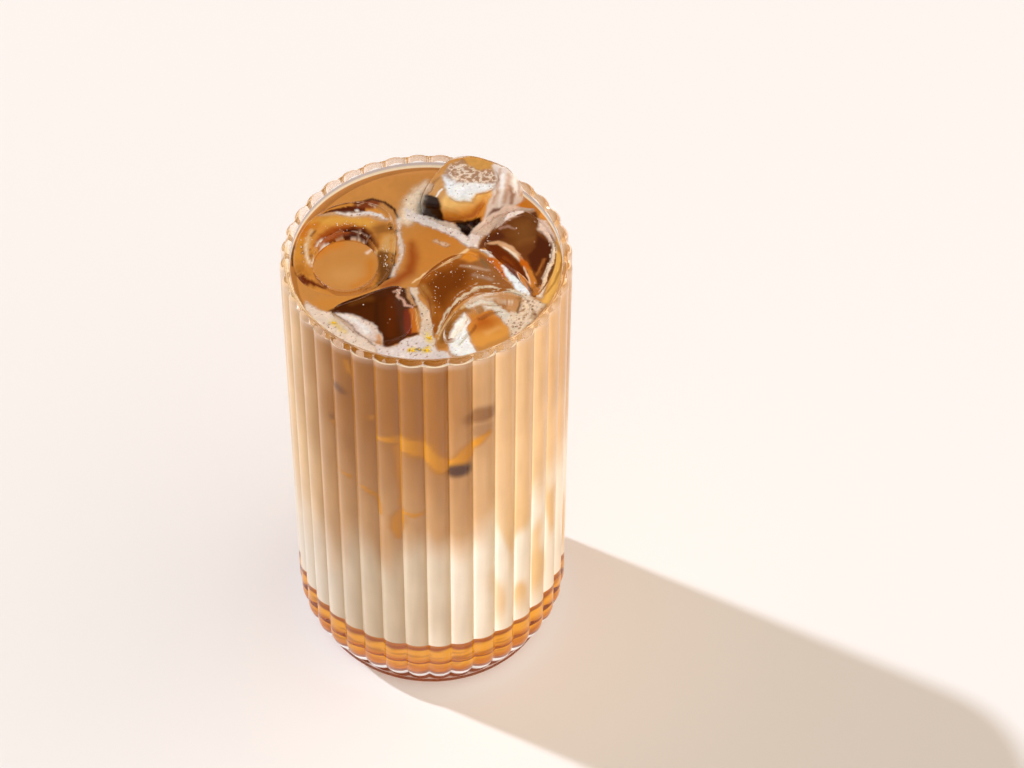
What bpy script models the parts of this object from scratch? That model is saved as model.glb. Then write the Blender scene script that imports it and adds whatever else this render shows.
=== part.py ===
"""Iced latte: a fluted highball glass filled with caramel syrup, milk, latte, froth and six pieces of ice.

Metres, +Z up. The origin is the centre of the glass's foot, on the table.
The front of the drink is -Y, and a groove of the glass faces it.
"""
import math

import bmesh
import bpy
from mathutils import Vector

MM = 0.001
SHARP_ANGLE = math.radians(38.0)

# Glass
GLASS_RADIUS = 38.0 * MM
GLASS_HEIGHT = 140.0 * MM
FLUTES = 36
STEPS_PER_FLUTE = 4
FLUTE_DEPTH = 1.37 * MM
FLUTE_ARC_RADIUS = 4.13 * MM
INNER_RADIUS = 35.4 * MM
INNER_FLOOR = 9.0 * MM
INNER_CORNER = 10.0 * MM
OUTER_CORNER = 13.3 * MM
FOOT_RADIUS = 33.4 * MM
FOOT_HEIGHT = 1.4 * MM
FOOT_EDGE = 0.4 * MM
FOOT_NECK = 1.0 * MM
LIP_RADIUS = 1.3 * MM
FLUTE_FADE = 2.6 * MM

# Drink: the heights where one layer ends and the next begins
GAP = 0.3 * MM
SYRUP_TOP = 21.0 * MM
MILK_TOP = 66.0 * MM
LEVEL = 137.0 * MM
DRINK_RADIUS = INNER_RADIUS - GAP - 0.03 * MM
DRINK_STEPS = 60
WAVE_HEIGHT = 2.4 * MM
FROTH_THICKNESS = 1.3 * MM
FROTH_WIDTH = 2.4 * MM
FROTH_START_DEG = 197.0
FROTH_END_DEG = 352.0
FROTH_STEPS = 58
# Tongues of froth that reach in between the ice: direction in degrees, reach and spread in degrees
FROTH_TONGUES = [(228.0, 5.5, 13.0), (267.5, 17.5, 6.0), (298.0, 8.0, 12.0), (338.0, 3.0, 8.0)]
POOL_LEVEL = LEVEL - 0.8 * MM

# Ice
ICE_POINTS = 26
ICE_EDGE = 1.4 * MM
POCKET_GAP = 0.36 * MM
POCKET_HEADROOM = 8.0 * MM

# Each block of ice has its outline at the surface of the drink, seen from above and counterclockwise,
# the centre that it closes towards, its depth under the surface, and the flat faces of its top:
# (height over the drink at the centre, rise per metre along X, rise per metre along Y).
ICE_BLOCKS = {
    "ice_hollow": {
        "outline": [(-8.2, 3.0), (-8.4, 10.6), (-10.6, 17.8), (-16.8, 21.0), (-25.0, 19.2), (-31.2, 12.8),
                    (-34.3, 4.5), (-33.9, -3.8), (-29.6, -10.0), (-21.0, -12.6), (-13.4, -10.0), (-9.4, -4.4)],
        "centre": (-21.0, 2.0),
        "depth": 19.0,
        "faces": [(1.9, 0.0, 0.11), (3.3, 0.0, -0.05)],
    },
    "ice_tall": {
        "outline": [(12.4, 11.4), (17.6, 17.2), (23.4, 20.4), (24.6, 23.8), (18.8, 28.6), (11.0, 31.6),
                    (4.2, 29.8), (-0.4, 24.8), (-1.8, 19.0), (2.0, 14.8), (7.2, 12.4)],
        "centre": (10.5, 20.5),
        "depth": 17.0,
        "faces": [(9.0, 0.01, -0.02), (12.0, 0.7, 0.0), (14.8, -0.62, 0.1), (12.8, 0.15, 0.8)],
    },
    "ice_right": {
        "outline": [(28.2, -11.6), (31.2, -7.2), (33.2, -1.5), (33.6, 4.6), (31.2, 11.0), (26.0, 16.4),
                    (20.4, 15.6), (17.0, 11.6), (14.6, 6.8), (17.4, 2.6), (21.4, -1.8), (25.4, -7.6)],
        "centre": (24.8, 4.2),
        "depth": 18.0,
        "faces": [(3.1, -0.09, 0.04), (3.6, 0.34, 0.12)],
    },
    "ice_centre": {
        "outline": [(23.4, -8.8), (18.8, -3.4), (14.2, 2.2), (10.4, 3.2), (3.6, -1.4), (-1.8, -8.2),
                    (0.8, -14.0), (1.6, -20.0), (2.6, -26.6), (5.2, -21.2), (8.2, -15.2), (13.0, -10.9),
                    (18.6, -10.0)],
        "centre": (8.0, -6.6),
        "depth": 15.0,
        "faces": [(2.4, -0.02, 0.04), (3.6, -0.25, -0.18), (2.5, 0.04, 0.12)],
    },
    "ice_front": {
        "outline": [(-2.8, -12.6), (-5.2, -9.6), (-9.0, -9.4), (-16.0, -13.0), (-23.6, -17.2), (-20.2, -22.2),
                    (-15.6, -26.6), (-10.6, -28.6), (-5.4, -27.2), (-3.0, -23.6), (-2.4, -18.4)],
        "centre": (-11.0, -19.4),
        "depth": 16.0,
        "faces": [(1.9, 0.05, 0.13), (3.4, -0.42, 0.02), (3.2, 0.0, -0.14)],
    },
}
HOLLOW_CENTRE = (-20.8, -0.8)
HOLLOW_MOUTH = (8.6, 9.4)
HOLLOW_FLOOR = (6.0, 6.4)
HOLLOW_DEPTH = 13.0 * MM

# The sixth piece is a half-sunk thimble of ice, of which an arched rim shows
ARCH_POINTS = [(5.9, -28.2), (8.1, -22.9), (11.0, -18.2), (15.0, -14.8), (19.7, -14.0), (23.6, -15.1),
               (26.0, -18.4)]
ARCH_WIDTH = 4.6 * MM
ARCH_TOP = LEVEL + 3.0 * MM
ARCH_BOTTOM = LEVEL - 9.0 * MM

COLOURS = {
    "clear_glass": ((0.96, 0.94, 0.92), 0.02, 0.25),
    "caramel": ((0.58, 0.22, 0.035), 0.2, 1.0),
    "milk": ((0.86, 0.80, 0.71), 0.3, 1.0),
    "latte": ((0.60, 0.27, 0.085), 0.3, 1.0),
    "froth": ((0.85, 0.75, 0.61), 0.5, 1.0),
    "ice": ((0.55, 0.36, 0.22), 0.08, 0.6),
}


def clear_scene():
    for item in list(bpy.data.objects):
        bpy.data.objects.remove(item, do_unlink=True)


def new_collection(name):
    collection = bpy.data.collections.new(name)
    bpy.context.scene.collection.children.link(collection)
    return collection


def new_material(name):
    colour, roughness, alpha = COLOURS[name]
    material = bpy.data.materials.new(name)
    material.use_nodes = True
    shader = material.node_tree.nodes["Principled BSDF"]
    shader.inputs["Base Color"].default_value = (*colour, 1.0)
    shader.inputs["Roughness"].default_value = roughness
    shader.inputs["Alpha"].default_value = alpha
    return material


def add_object(name, mesh, collection, material=None):
    item = bpy.data.objects.new(name, mesh)
    collection.objects.link(item)
    if material:
        mesh.materials.append(material)
        mesh.shade_smooth()
        mesh.set_sharp_from_angle(angle=SHARP_ANGLE)
    else:
        item.display_type = "WIRE"
        item.hide_render = True
    return item


def evaluated_mesh(item):
    """The mesh of an object with its modifiers, as new data."""
    depsgraph = bpy.context.evaluated_depsgraph_get()
    return bpy.data.meshes.new_from_object(item.evaluated_get(depsgraph))


def turned_mesh(profile, steps):
    """A closed turned shape, from (radius, height) pairs that run down its outer side at +X."""
    mesh = bpy.data.meshes.new("profile")
    points = [(radius, 0.0, height) for radius, height in profile]
    mesh.from_pydata(points, [(i, i + 1) for i in range(len(points) - 1)], [])
    guide = bpy.data.objects.new("profile", mesh)
    bpy.context.scene.collection.objects.link(guide)
    screw = guide.modifiers.new("turn", "SCREW")
    screw.steps = steps
    screw.render_steps = steps
    screw.use_merge_vertices = True
    screw.merge_threshold = 0.00001
    turned = evaluated_mesh(guide)
    bpy.data.objects.remove(guide, do_unlink=True)
    return turned


def arc(centre_r, centre_z, radius, start_deg, end_deg, count):
    """Points of a profile along an arc, with the angle measured up from the outward direction."""
    points = []
    for i in range(count + 1):
        angle = math.radians(start_deg + (end_deg - start_deg) * i / count)
        points.append((centre_r + radius * math.cos(angle), centre_z + radius * math.sin(angle)))
    return points


def lofted_mesh(rings, first_end, last_end):
    """A closed mesh through rings of equal length, with a fan of triangles from a point at each end."""
    shape = bmesh.new()
    loops = [[shape.verts.new(point) for point in ring] for ring in rings]
    count = len(rings[0])
    for lower, upper in zip(loops, loops[1:]):
        for i in range(count):
            j = (i + 1) % count
            shape.faces.new((lower[i], lower[j], upper[j], upper[i]))
    low_end = shape.verts.new(first_end)
    high_end = shape.verts.new(last_end)
    for i in range(count):
        j = (i + 1) % count
        shape.faces.new((low_end, loops[0][j], loops[0][i]))
        shape.faces.new((high_end, loops[-1][i], loops[-1][j]))
    bmesh.ops.recalc_face_normals(shape, faces=shape.faces)
    mesh = bpy.data.meshes.new("loft")
    shape.to_mesh(mesh)
    shape.free()
    return mesh


def flute_cut(angle):
    """How far a point of the wall lies inside the flutes' crests, for an angle round the glass."""
    pitch = math.tau / FLUTES
    from_crest = (angle - math.radians(-90.0)) % pitch - pitch / 2.0
    across = GLASS_RADIUS * math.sin(from_crest)
    arc_fall = FLUTE_ARC_RADIUS - math.sqrt(FLUTE_ARC_RADIUS**2 - across**2)
    deepest = GLASS_RADIUS * math.sin(pitch / 2.0)
    scale = FLUTE_DEPTH / (FLUTE_ARC_RADIUS - math.sqrt(FLUTE_ARC_RADIUS**2 - deepest**2))
    return arc_fall * scale


def glass_profile():
    """(radius, height, share of the flute's depth) from the foot, up the outside and down the inside."""
    corner_centre = GLASS_RADIUS - OUTER_CORNER
    foot_join = math.degrees(math.asin((FOOT_HEIGHT + FOOT_NECK - OUTER_CORNER) / OUTER_CORNER))
    outside = [(FOOT_RADIUS - FOOT_EDGE, 0.0, 0.0), (FOOT_RADIUS, FOOT_EDGE, 0.0),
               (FOOT_RADIUS, FOOT_HEIGHT, 0.0)]
    for radius, height in arc(corner_centre, OUTER_CORNER, OUTER_CORNER, foot_join, 0.0, 3):
        outside.append((radius, height, 0.8 + 0.2 * min(1.0, height / OUTER_CORNER)))
    lip_base = GLASS_HEIGHT - LIP_RADIUS
    outside.append((GLASS_RADIUS, lip_base - FLUTE_FADE, 1.0))
    lip_centre = GLASS_RADIUS - LIP_RADIUS
    for radius, height in arc(lip_centre, lip_base, LIP_RADIUS, 0.0, 60.0, 2):
        outside.append((radius, height, 0.85 * (GLASS_HEIGHT + 0.2 * MM - height) / LIP_RADIUS))
    inside = []
    for radius, height in arc(INNER_RADIUS + LIP_RADIUS, lip_base, LIP_RADIUS, 90.0, 180.0, 2):
        inside.append((radius, height, 0.0))
    for radius, height in arc(INNER_RADIUS - INNER_CORNER, INNER_FLOOR + INNER_CORNER, INNER_CORNER,
                              0.0, -90.0, 3):
        inside.append((radius, height, 0.0))
    return outside + inside


def glass_mesh():
    steps = FLUTES * STEPS_PER_FLUTE
    rings = []
    for radius, height, share in glass_profile():
        ring = []
        for i in range(steps):
            angle = math.radians(-90.0) + math.tau * i / steps
            reach = radius - share * flute_cut(angle)
            ring.append((reach * math.cos(angle), reach * math.sin(angle), height))
        rings.append(ring)
    return lofted_mesh(rings, (0.0, 0.0, 0.0), (0.0, 0.0, INNER_FLOOR))


def layer_wave(x, y):
    """Height of the cloudy border between milk and latte, over its mean."""
    slow = math.sin(x / (11.0 * MM) + 0.6) * math.cos(y / (13.0 * MM) - 0.4)
    quick = math.sin((x - y) / (6.0 * MM) + 2.0)
    return WAVE_HEIGHT * (0.7 * slow + 0.3 * quick)


def wave_border(mesh, border):
    for vertex in mesh.vertices:
        if abs(vertex.co.z - border) < 0.01 * MM:
            vertex.co.z += layer_wave(vertex.co.x, vertex.co.y)


def cap_rings(height, outward):
    """Profile points across a flat end of a layer, close enough to carry the wave."""
    radii = [0.0, 9.0 * MM, 18.0 * MM, 27.0 * MM]
    points = [(radius, height) for radius in radii]
    return points if outward else points[::-1]


def syrup_mesh():
    corner = INNER_CORNER - GAP
    floor = INNER_FLOOR + GAP
    rounded = arc(DRINK_RADIUS - corner, floor + corner, corner, 0.0, -90.0, 3)
    return turned_mesh([(0.0, SYRUP_TOP), (DRINK_RADIUS, SYRUP_TOP), *rounded, (0.0, floor)], DRINK_STEPS)


def milk_mesh():
    low = SYRUP_TOP + GAP
    sides = [(DRINK_RADIUS, MILK_TOP), (DRINK_RADIUS, low), (0.0, low)]
    mesh = turned_mesh(cap_rings(MILK_TOP, True) + sides, DRINK_STEPS)
    wave_border(mesh, MILK_TOP)
    return mesh


def latte_mesh():
    low = MILK_TOP + GAP
    sides = [(0.0, LEVEL), (DRINK_RADIUS, LEVEL), (DRINK_RADIUS, low)]
    mesh = turned_mesh(sides + cap_rings(low, False), DRINK_STEPS)
    wave_border(mesh, low)
    return mesh


def smooth_outline(points, count, outset):
    """A closed curve through the points, moved outwards by the outset."""
    knots = [Vector((x * MM, y * MM)) for x, y in points]
    total = len(knots)
    curve = []
    for i in range(count):
        place = i * total / count
        k = int(place)
        t = place - k
        before, here, there, after = (knots[(k + step) % total] for step in (-1, 0, 1, 2))
        curve.append(0.5 * (2.0 * here + (there - before) * t
                            + (2.0 * before - 5.0 * here + 4.0 * there - after) * t**2
                            + (3.0 * here - before - 3.0 * there + after) * t**3))
    moved = []
    for i in range(count):
        along = (curve[(i + 1) % count] - curve[i - 1]).normalized()
        moved.append(curve[i] + Vector((along.y, -along.x)) * outset)
    return moved


def block_height(block, x, y):
    """Height of the block's top over the drink: the lowest of its flat faces, blended at the ridges."""
    centre_x, centre_y = block["centre"]
    blend = 0.35 * MM
    total = 0.0
    for height, rise_x, rise_y in block["faces"]:
        face = height * MM + rise_x * (x - centre_x * MM) + rise_y * (y - centre_y * MM)
        total += math.exp(-face / blend)
    return -blend * math.log(total)


def block_ring(block, outline, share, height_of):
    centre = Vector(block["centre"]) * MM
    ring = []
    for point in outline:
        place = centre + (point - centre) * share
        ring.append((place.x, place.y, height_of(place)))
    return ring


def block_mesh(block):
    outline = smooth_outline(block["outline"], ICE_POINTS, 0.0)
    low = LEVEL - block["depth"] * MM
    rings = []
    for share, lift in [(0.5, 0.0), (0.78, 0.6), (0.93, 3.0), (1.0, 8.0)]:
        rings.append(block_ring(block, outline, share, lambda place, z=low + lift * MM: z))
    for share, fall in [(1.0, 1.0), (0.965, 0.3), (0.9, 0.04), (0.68, 0.0), (0.36, 0.0)]:
        rings.append(block_ring(block, outline, share, lambda place, drop=fall * ICE_EDGE:
                                LEVEL + block_height(block, place.x, place.y) - drop))
    x, y = (value * MM for value in block["centre"])
    return lofted_mesh(rings, (x, y, low), (x, y, LEVEL + block_height(block, x, y)))


def pocket_mesh(block):
    """The block a little larger, and open above the drink, to cut its place in the latte."""
    outline = smooth_outline(block["outline"], ICE_POINTS, POCKET_GAP)
    low = LEVEL - block["depth"] * MM - POCKET_GAP
    rings = []
    for share, height in [(0.52, low), (0.8, low + 0.6 * MM), (0.945, low + 3.0 * MM), (1.0, low + 8.0 * MM),
                          (1.0, LEVEL + POCKET_HEADROOM)]:
        rings.append(block_ring(block, outline, share, lambda place, z=height: z))
    x, y = (value * MM for value in block["centre"])
    return lofted_mesh(rings, (x, y, low), (x, y, LEVEL + POCKET_HEADROOM))


def hollow_ring(height, inset):
    """Outline of the hollow at a height: narrow at its floor and at its widest at the drink's level."""
    share = min(1.0, max(0.0, 1.0 + (height - LEVEL) / HOLLOW_DEPTH))
    widen = math.sin(share * math.pi / 2.0)
    reach = [(floor + (mouth - floor) * widen) * MM - inset
             for floor, mouth in zip(HOLLOW_FLOOR, HOLLOW_MOUTH)]
    ring = []
    for k in range(ICE_POINTS):
        angle = math.tau * k / ICE_POINTS
        ring.append((HOLLOW_CENTRE[0] * MM + reach[0] * math.cos(angle),
                     HOLLOW_CENTRE[1] * MM + reach[1] * math.sin(angle), height))
    return ring


def hollow_mesh(top, inset):
    """The round hollow of the hollow ice, or the latte that stands in it."""
    low = LEVEL - HOLLOW_DEPTH + inset
    heights = [low + (LEVEL - low) * i / 4.0 for i in range(4)] + [top]
    x, y = (value * MM for value in HOLLOW_CENTRE)
    return lofted_mesh([hollow_ring(height, inset) for height in heights], (x, y, low), (x, y, top))


def arch_mesh(extra):
    """A bar along the arch with a rounded, upright section, from a bevelled curve."""
    data = bpy.data.curves.new("arch", "CURVE")
    data.dimensions = "3D"
    data.bevel_depth = ARCH_WIDTH / 2.0 + extra
    data.bevel_resolution = 3
    data.use_fill_caps = True
    spline = data.splines.new("BEZIER")
    spline.bezier_points.add(len(ARCH_POINTS) - 1)
    spline.resolution_u = 4
    for knot, (x, y) in zip(spline.bezier_points, ARCH_POINTS):
        knot.co = (x * MM, y * MM, 0.0)
        knot.handle_left_type = "AUTO"
        knot.handle_right_type = "AUTO"
    guide = bpy.data.objects.new("arch", data)
    bpy.context.scene.collection.objects.link(guide)
    mesh = evaluated_mesh(guide)
    bpy.data.objects.remove(guide, do_unlink=True)
    shape = bmesh.new()
    shape.from_mesh(mesh)
    bmesh.ops.remove_doubles(shape, verts=shape.verts, dist=0.00001)
    middle = (ARCH_TOP + ARCH_BOTTOM) / 2.0
    reach = (ARCH_TOP - ARCH_BOTTOM) / 2.0 + extra
    for vertex in shape.verts:
        height = vertex.co.z / data.bevel_depth
        vertex.co.z = middle + reach * height
    shape.to_mesh(mesh)
    shape.free()
    return mesh


def froth_width(angle, taper):
    """How far the froth reaches in from the wall at an angle round the glass."""
    width = FROTH_WIDTH * taper + 0.4 * MM
    for middle_deg, reach, spread_deg in FROTH_TONGUES:
        offset = (math.degrees(angle) - middle_deg) / spread_deg
        width += reach * MM * math.exp(-offset * offset)
    return width


def froth_mesh():
    """A low crescent of froth along the front of the glass, with tongues that reach in between the ice."""
    outer = DRINK_RADIUS - 0.1 * MM
    low = LEVEL + GAP
    domed = [(0.0, 0.0), (0.0, 0.8), (0.25, 1.0), (0.7, 0.85), (1.0, 0.35), (1.0, 0.0)]
    sections = []
    for i in range(FROTH_STEPS + 1):
        share = i / FROTH_STEPS
        angle = math.radians(FROTH_START_DEG + (FROTH_END_DEG - FROTH_START_DEG) * share)
        taper = max(0.0, math.sin(math.pi * share)) ** 0.35
        thick = FROTH_THICKNESS * (0.55 + 0.45 * taper) * (1.0 + 0.12 * math.sin(9.0 * angle))
        section = []
        for inward, rise in domed:
            reach = outer - inward * froth_width(angle, taper)
            section.append(Vector((reach * math.cos(angle), reach * math.sin(angle), low + rise * thick)))
        sections.append(section)
    ends = [sum(section, Vector()) / len(section) for section in (sections[0], sections[-1])]
    return lofted_mesh(sections, *ends)


def cut(item, cutter):
    step = item.modifiers.new("cut_" + cutter.name, "BOOLEAN")
    step.operation = "DIFFERENCE"
    step.object = cutter


def build():
    clear_scene()
    parts = new_collection("iced_latte")
    cutters = new_collection("cutters")
    materials = {name: new_material(name) for name in COLOURS}

    add_object("glass", glass_mesh(), parts, materials["clear_glass"])
    add_object("caramel_syrup", syrup_mesh(), parts, materials["caramel"])
    add_object("milk", milk_mesh(), parts, materials["milk"])
    latte = add_object("latte", latte_mesh(), parts, materials["latte"])
    froth = add_object("froth", froth_mesh(), parts, materials["froth"])

    pockets = []
    for name, block in ICE_BLOCKS.items():
        add_object(name, block_mesh(block), parts, materials["ice"])
        pockets.append(add_object("pocket_" + name, pocket_mesh(block), cutters))
    add_object("ice_arch", arch_mesh(0.0), parts, materials["ice"])
    pockets.append(add_object("pocket_ice_arch", arch_mesh(POCKET_GAP), cutters))
    for pocket in pockets:
        cut(latte, pocket)
        cut(froth, pocket)

    hollow = add_object("hollow", hollow_mesh(LEVEL + POCKET_HEADROOM, 0.0), cutters)
    cut(parts.objects["ice_hollow"], hollow)
    add_object("latte_pool", hollow_mesh(POOL_LEVEL, GAP), parts, materials["latte"])


build()
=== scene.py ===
"""The looks of an iced latte in a fluted highball glass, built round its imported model.

Lengths are in metres, +Z up, the front of the drink towards -Y. Lists of places are in millimetres, and
MM turns them into metres. Colours are 0 to 255 in sRGB.
"""
import math
import random

import bmesh
import bpy
import numpy as np
from mathutils import Euler, Matrix, Vector, noise
from mathutils.bvhtree import BVHTree
from mathutils.kdtree import KDTree


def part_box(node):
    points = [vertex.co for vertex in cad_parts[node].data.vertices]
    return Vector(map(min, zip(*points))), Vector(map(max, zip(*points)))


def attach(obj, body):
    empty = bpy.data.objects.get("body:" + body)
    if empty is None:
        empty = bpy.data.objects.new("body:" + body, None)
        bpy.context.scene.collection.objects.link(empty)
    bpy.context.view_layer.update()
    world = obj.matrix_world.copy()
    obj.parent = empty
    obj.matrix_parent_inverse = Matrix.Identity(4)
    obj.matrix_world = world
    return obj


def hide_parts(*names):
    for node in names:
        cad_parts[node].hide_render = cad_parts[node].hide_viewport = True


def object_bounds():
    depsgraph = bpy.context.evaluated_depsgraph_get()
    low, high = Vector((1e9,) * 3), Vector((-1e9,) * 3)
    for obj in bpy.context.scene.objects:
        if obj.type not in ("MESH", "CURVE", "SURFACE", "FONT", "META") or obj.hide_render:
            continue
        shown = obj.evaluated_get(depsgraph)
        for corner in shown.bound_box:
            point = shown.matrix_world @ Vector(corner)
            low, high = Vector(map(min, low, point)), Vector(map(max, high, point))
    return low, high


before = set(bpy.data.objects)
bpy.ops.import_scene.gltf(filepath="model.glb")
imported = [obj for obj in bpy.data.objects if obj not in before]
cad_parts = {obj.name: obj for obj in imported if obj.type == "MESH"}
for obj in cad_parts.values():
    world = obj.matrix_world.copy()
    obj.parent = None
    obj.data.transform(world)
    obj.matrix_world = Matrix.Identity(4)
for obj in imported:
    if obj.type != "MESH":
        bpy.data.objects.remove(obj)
CAD_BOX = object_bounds()

MM = 0.001

CAMERA_PLACE = (22.51 * MM, -586.25 * MM, 751.0 * MM)
CAMERA_ELEVATION = 0.8451
CAMERA_ROLL = 0.0092
CAMERA_LENS = 115.02
TO_SUN = Vector((-0.651, 0.329, 0.682))

# Glass, as in the model
GLASS_RADIUS = 38.0 * MM
GLASS_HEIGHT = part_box("glass")[1].z
FLUTES = 36
FLUTE_DEPTH = 1.37 * MM
FLUTE_ARC_RADIUS = 4.13 * MM
GROOVE_ROUNDING = 0.12 * MM
INNER_RADIUS = 35.4 * MM
INNER_FLOOR = 9.0 * MM
INNER_CORNER = 10.0 * MM
OUTER_CORNER = 13.3 * MM
FOOT_RADIUS = 33.4 * MM
FOOT_HEIGHT = 1.4 * MM
FOOT_EDGE = 0.4 * MM
FOOT_NECK = 1.0 * MM
LIP_RADIUS = 1.3 * MM
FLUTE_FADE = 2.6 * MM

# Drink: it reaches a little into the wall, so that no air shows between them
WALL_OVERLAP = 0.15 * MM
DRINK_RADIUS = INNER_RADIUS + WALL_OVERLAP
SYRUP_TOP = 21.15 * MM
MILK_TOP = 66.15 * MM
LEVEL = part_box("latte")[1].z
POOL_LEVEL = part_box("latte_pool")[1].z
DRINK_COLUMNS = 360

# Ice, as in the model: outline at the drink's level, centre, depth, and the flat faces of the top as
# (height at the centre, rise per metre along X, rise per metre along Y)
ICE_EDGE = 1.4 * MM
ICE_BEND = 1.31
ICE_OVERLAP = 0.12 * MM
ICE_BLOCKS = {
    "ice_hollow": {
        "outline": [(-8.2, 3.0), (-8.4, 10.6), (-10.6, 17.8), (-16.8, 21.0), (-25.0, 19.2),
                    (-31.2, 12.8), (-34.3, 4.5), (-33.9, -3.8), (-29.6, -10.0), (-21.0, -12.6),
                    (-13.4, -10.0), (-9.4, -4.4)],
        "centre": (-21.0, 2.0),
        "depth": 19.0,
        "faces": [(1.9, 0.0, 0.11), (3.3, 0.0, -0.05)],
    },
    "ice_tall": {
        "outline": [(12.4, 11.4), (17.6, 17.2), (23.4, 20.4), (24.6, 23.8), (18.8, 28.6), (11.0, 31.6),
                    (4.2, 29.8), (-0.4, 24.8), (-1.8, 19.0), (2.0, 14.8), (7.2, 12.4)],
        "centre": (10.5, 20.5),
        "depth": 17.0,
        "faces": [(9.0, 0.01, -0.02), (12.0, 0.7, 0.0), (14.8, -0.62, 0.1), (12.8, 0.15, 0.8)],
    },
    "ice_right": {
        "outline": [(28.2, -11.6), (31.2, -7.2), (33.2, -1.5), (33.6, 4.6), (31.2, 11.0), (26.0, 16.4),
                    (20.4, 15.6), (17.0, 11.6), (14.6, 6.8), (17.4, 2.6), (21.4, -1.8), (25.4, -7.6)],
        "centre": (24.8, 4.2),
        "depth": 18.0,
        "faces": [(3.1, -0.09, 0.04), (3.6, 0.34, 0.12)],
    },
    "ice_centre": {
        "outline": [(23.4, -8.8), (18.8, -3.4), (14.2, 2.2), (10.4, 3.2), (3.6, -1.4), (-1.8, -8.2),
                    (0.8, -14.0), (1.6, -20.0), (2.6, -26.6), (5.2, -21.2), (8.2, -15.2), (13.0, -10.9),
                    (18.6, -10.0)],
        "centre": (8.0, -6.6),
        "depth": 15.0,
        "faces": [(2.4, -0.02, 0.04), (3.6, -0.25, -0.18), (2.5, 0.04, 0.12)],
    },
    "ice_front": {
        "outline": [(-2.8, -12.6), (-5.2, -9.6), (-9.0, -9.4), (-16.0, -13.0), (-23.6, -17.2), (-20.2, -22.2),
                    (-15.6, -26.6), (-10.6, -28.6), (-5.4, -27.2), (-3.0, -23.6), (-2.4, -18.4)],
        "centre": (-11.0, -19.4),
        "depth": 16.0,
        "faces": [(1.9, 0.05, 0.13), (3.4, -0.42, 0.02), (3.2, 0.0, -0.14)],
    },
}
HOLLOW_CENTRE = (-20.8, -0.8)
HOLLOW_MOUTH = (8.6, 9.4)
HOLLOW_FLOOR = (6.0, 6.4)
HOLLOW_DEPTH = 13.0 * MM
ARCH_POINTS = [(5.9, -28.2), (8.1, -22.9), (11.0, -18.2), (15.0, -14.8), (19.7, -14.0), (23.6, -15.1),
               (26.0, -18.4)]
ARCH_WIDTH = 4.6 * MM
ARCH_TOP = LEVEL + 3.0 * MM

# What the flutes do to the light on the drink behind them: place across a flute, colour factor
FLUTE_TONES = [(0.16, (1.34, 1.42, 1.5)), (0.3, (1.14, 1.14, 1.14)), (0.55, (0.95, 0.92, 0.88)),
               (0.86, (0.76, 0.66, 0.52))]

# Depth of the pocket that each block of ice sits in, in mm, and the colour of its walls: painted shade,
# darker than the open latte, for all blocks but the hollow one, whose walls are painted a lighter gold
POCKETS = {
    "ice_hollow": (2.2, (212, 140, 58)),
    "ice_tall": (3.4, (180, 110, 44)),
    "ice_right": (2.4, (120, 64, 22)),
    "ice_centre": (2.2, (150, 88, 28)),
    "ice_front": (2.4, (92, 42, 6)),
    "ice_arch": (1.2, (176, 124, 72)),
}
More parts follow.
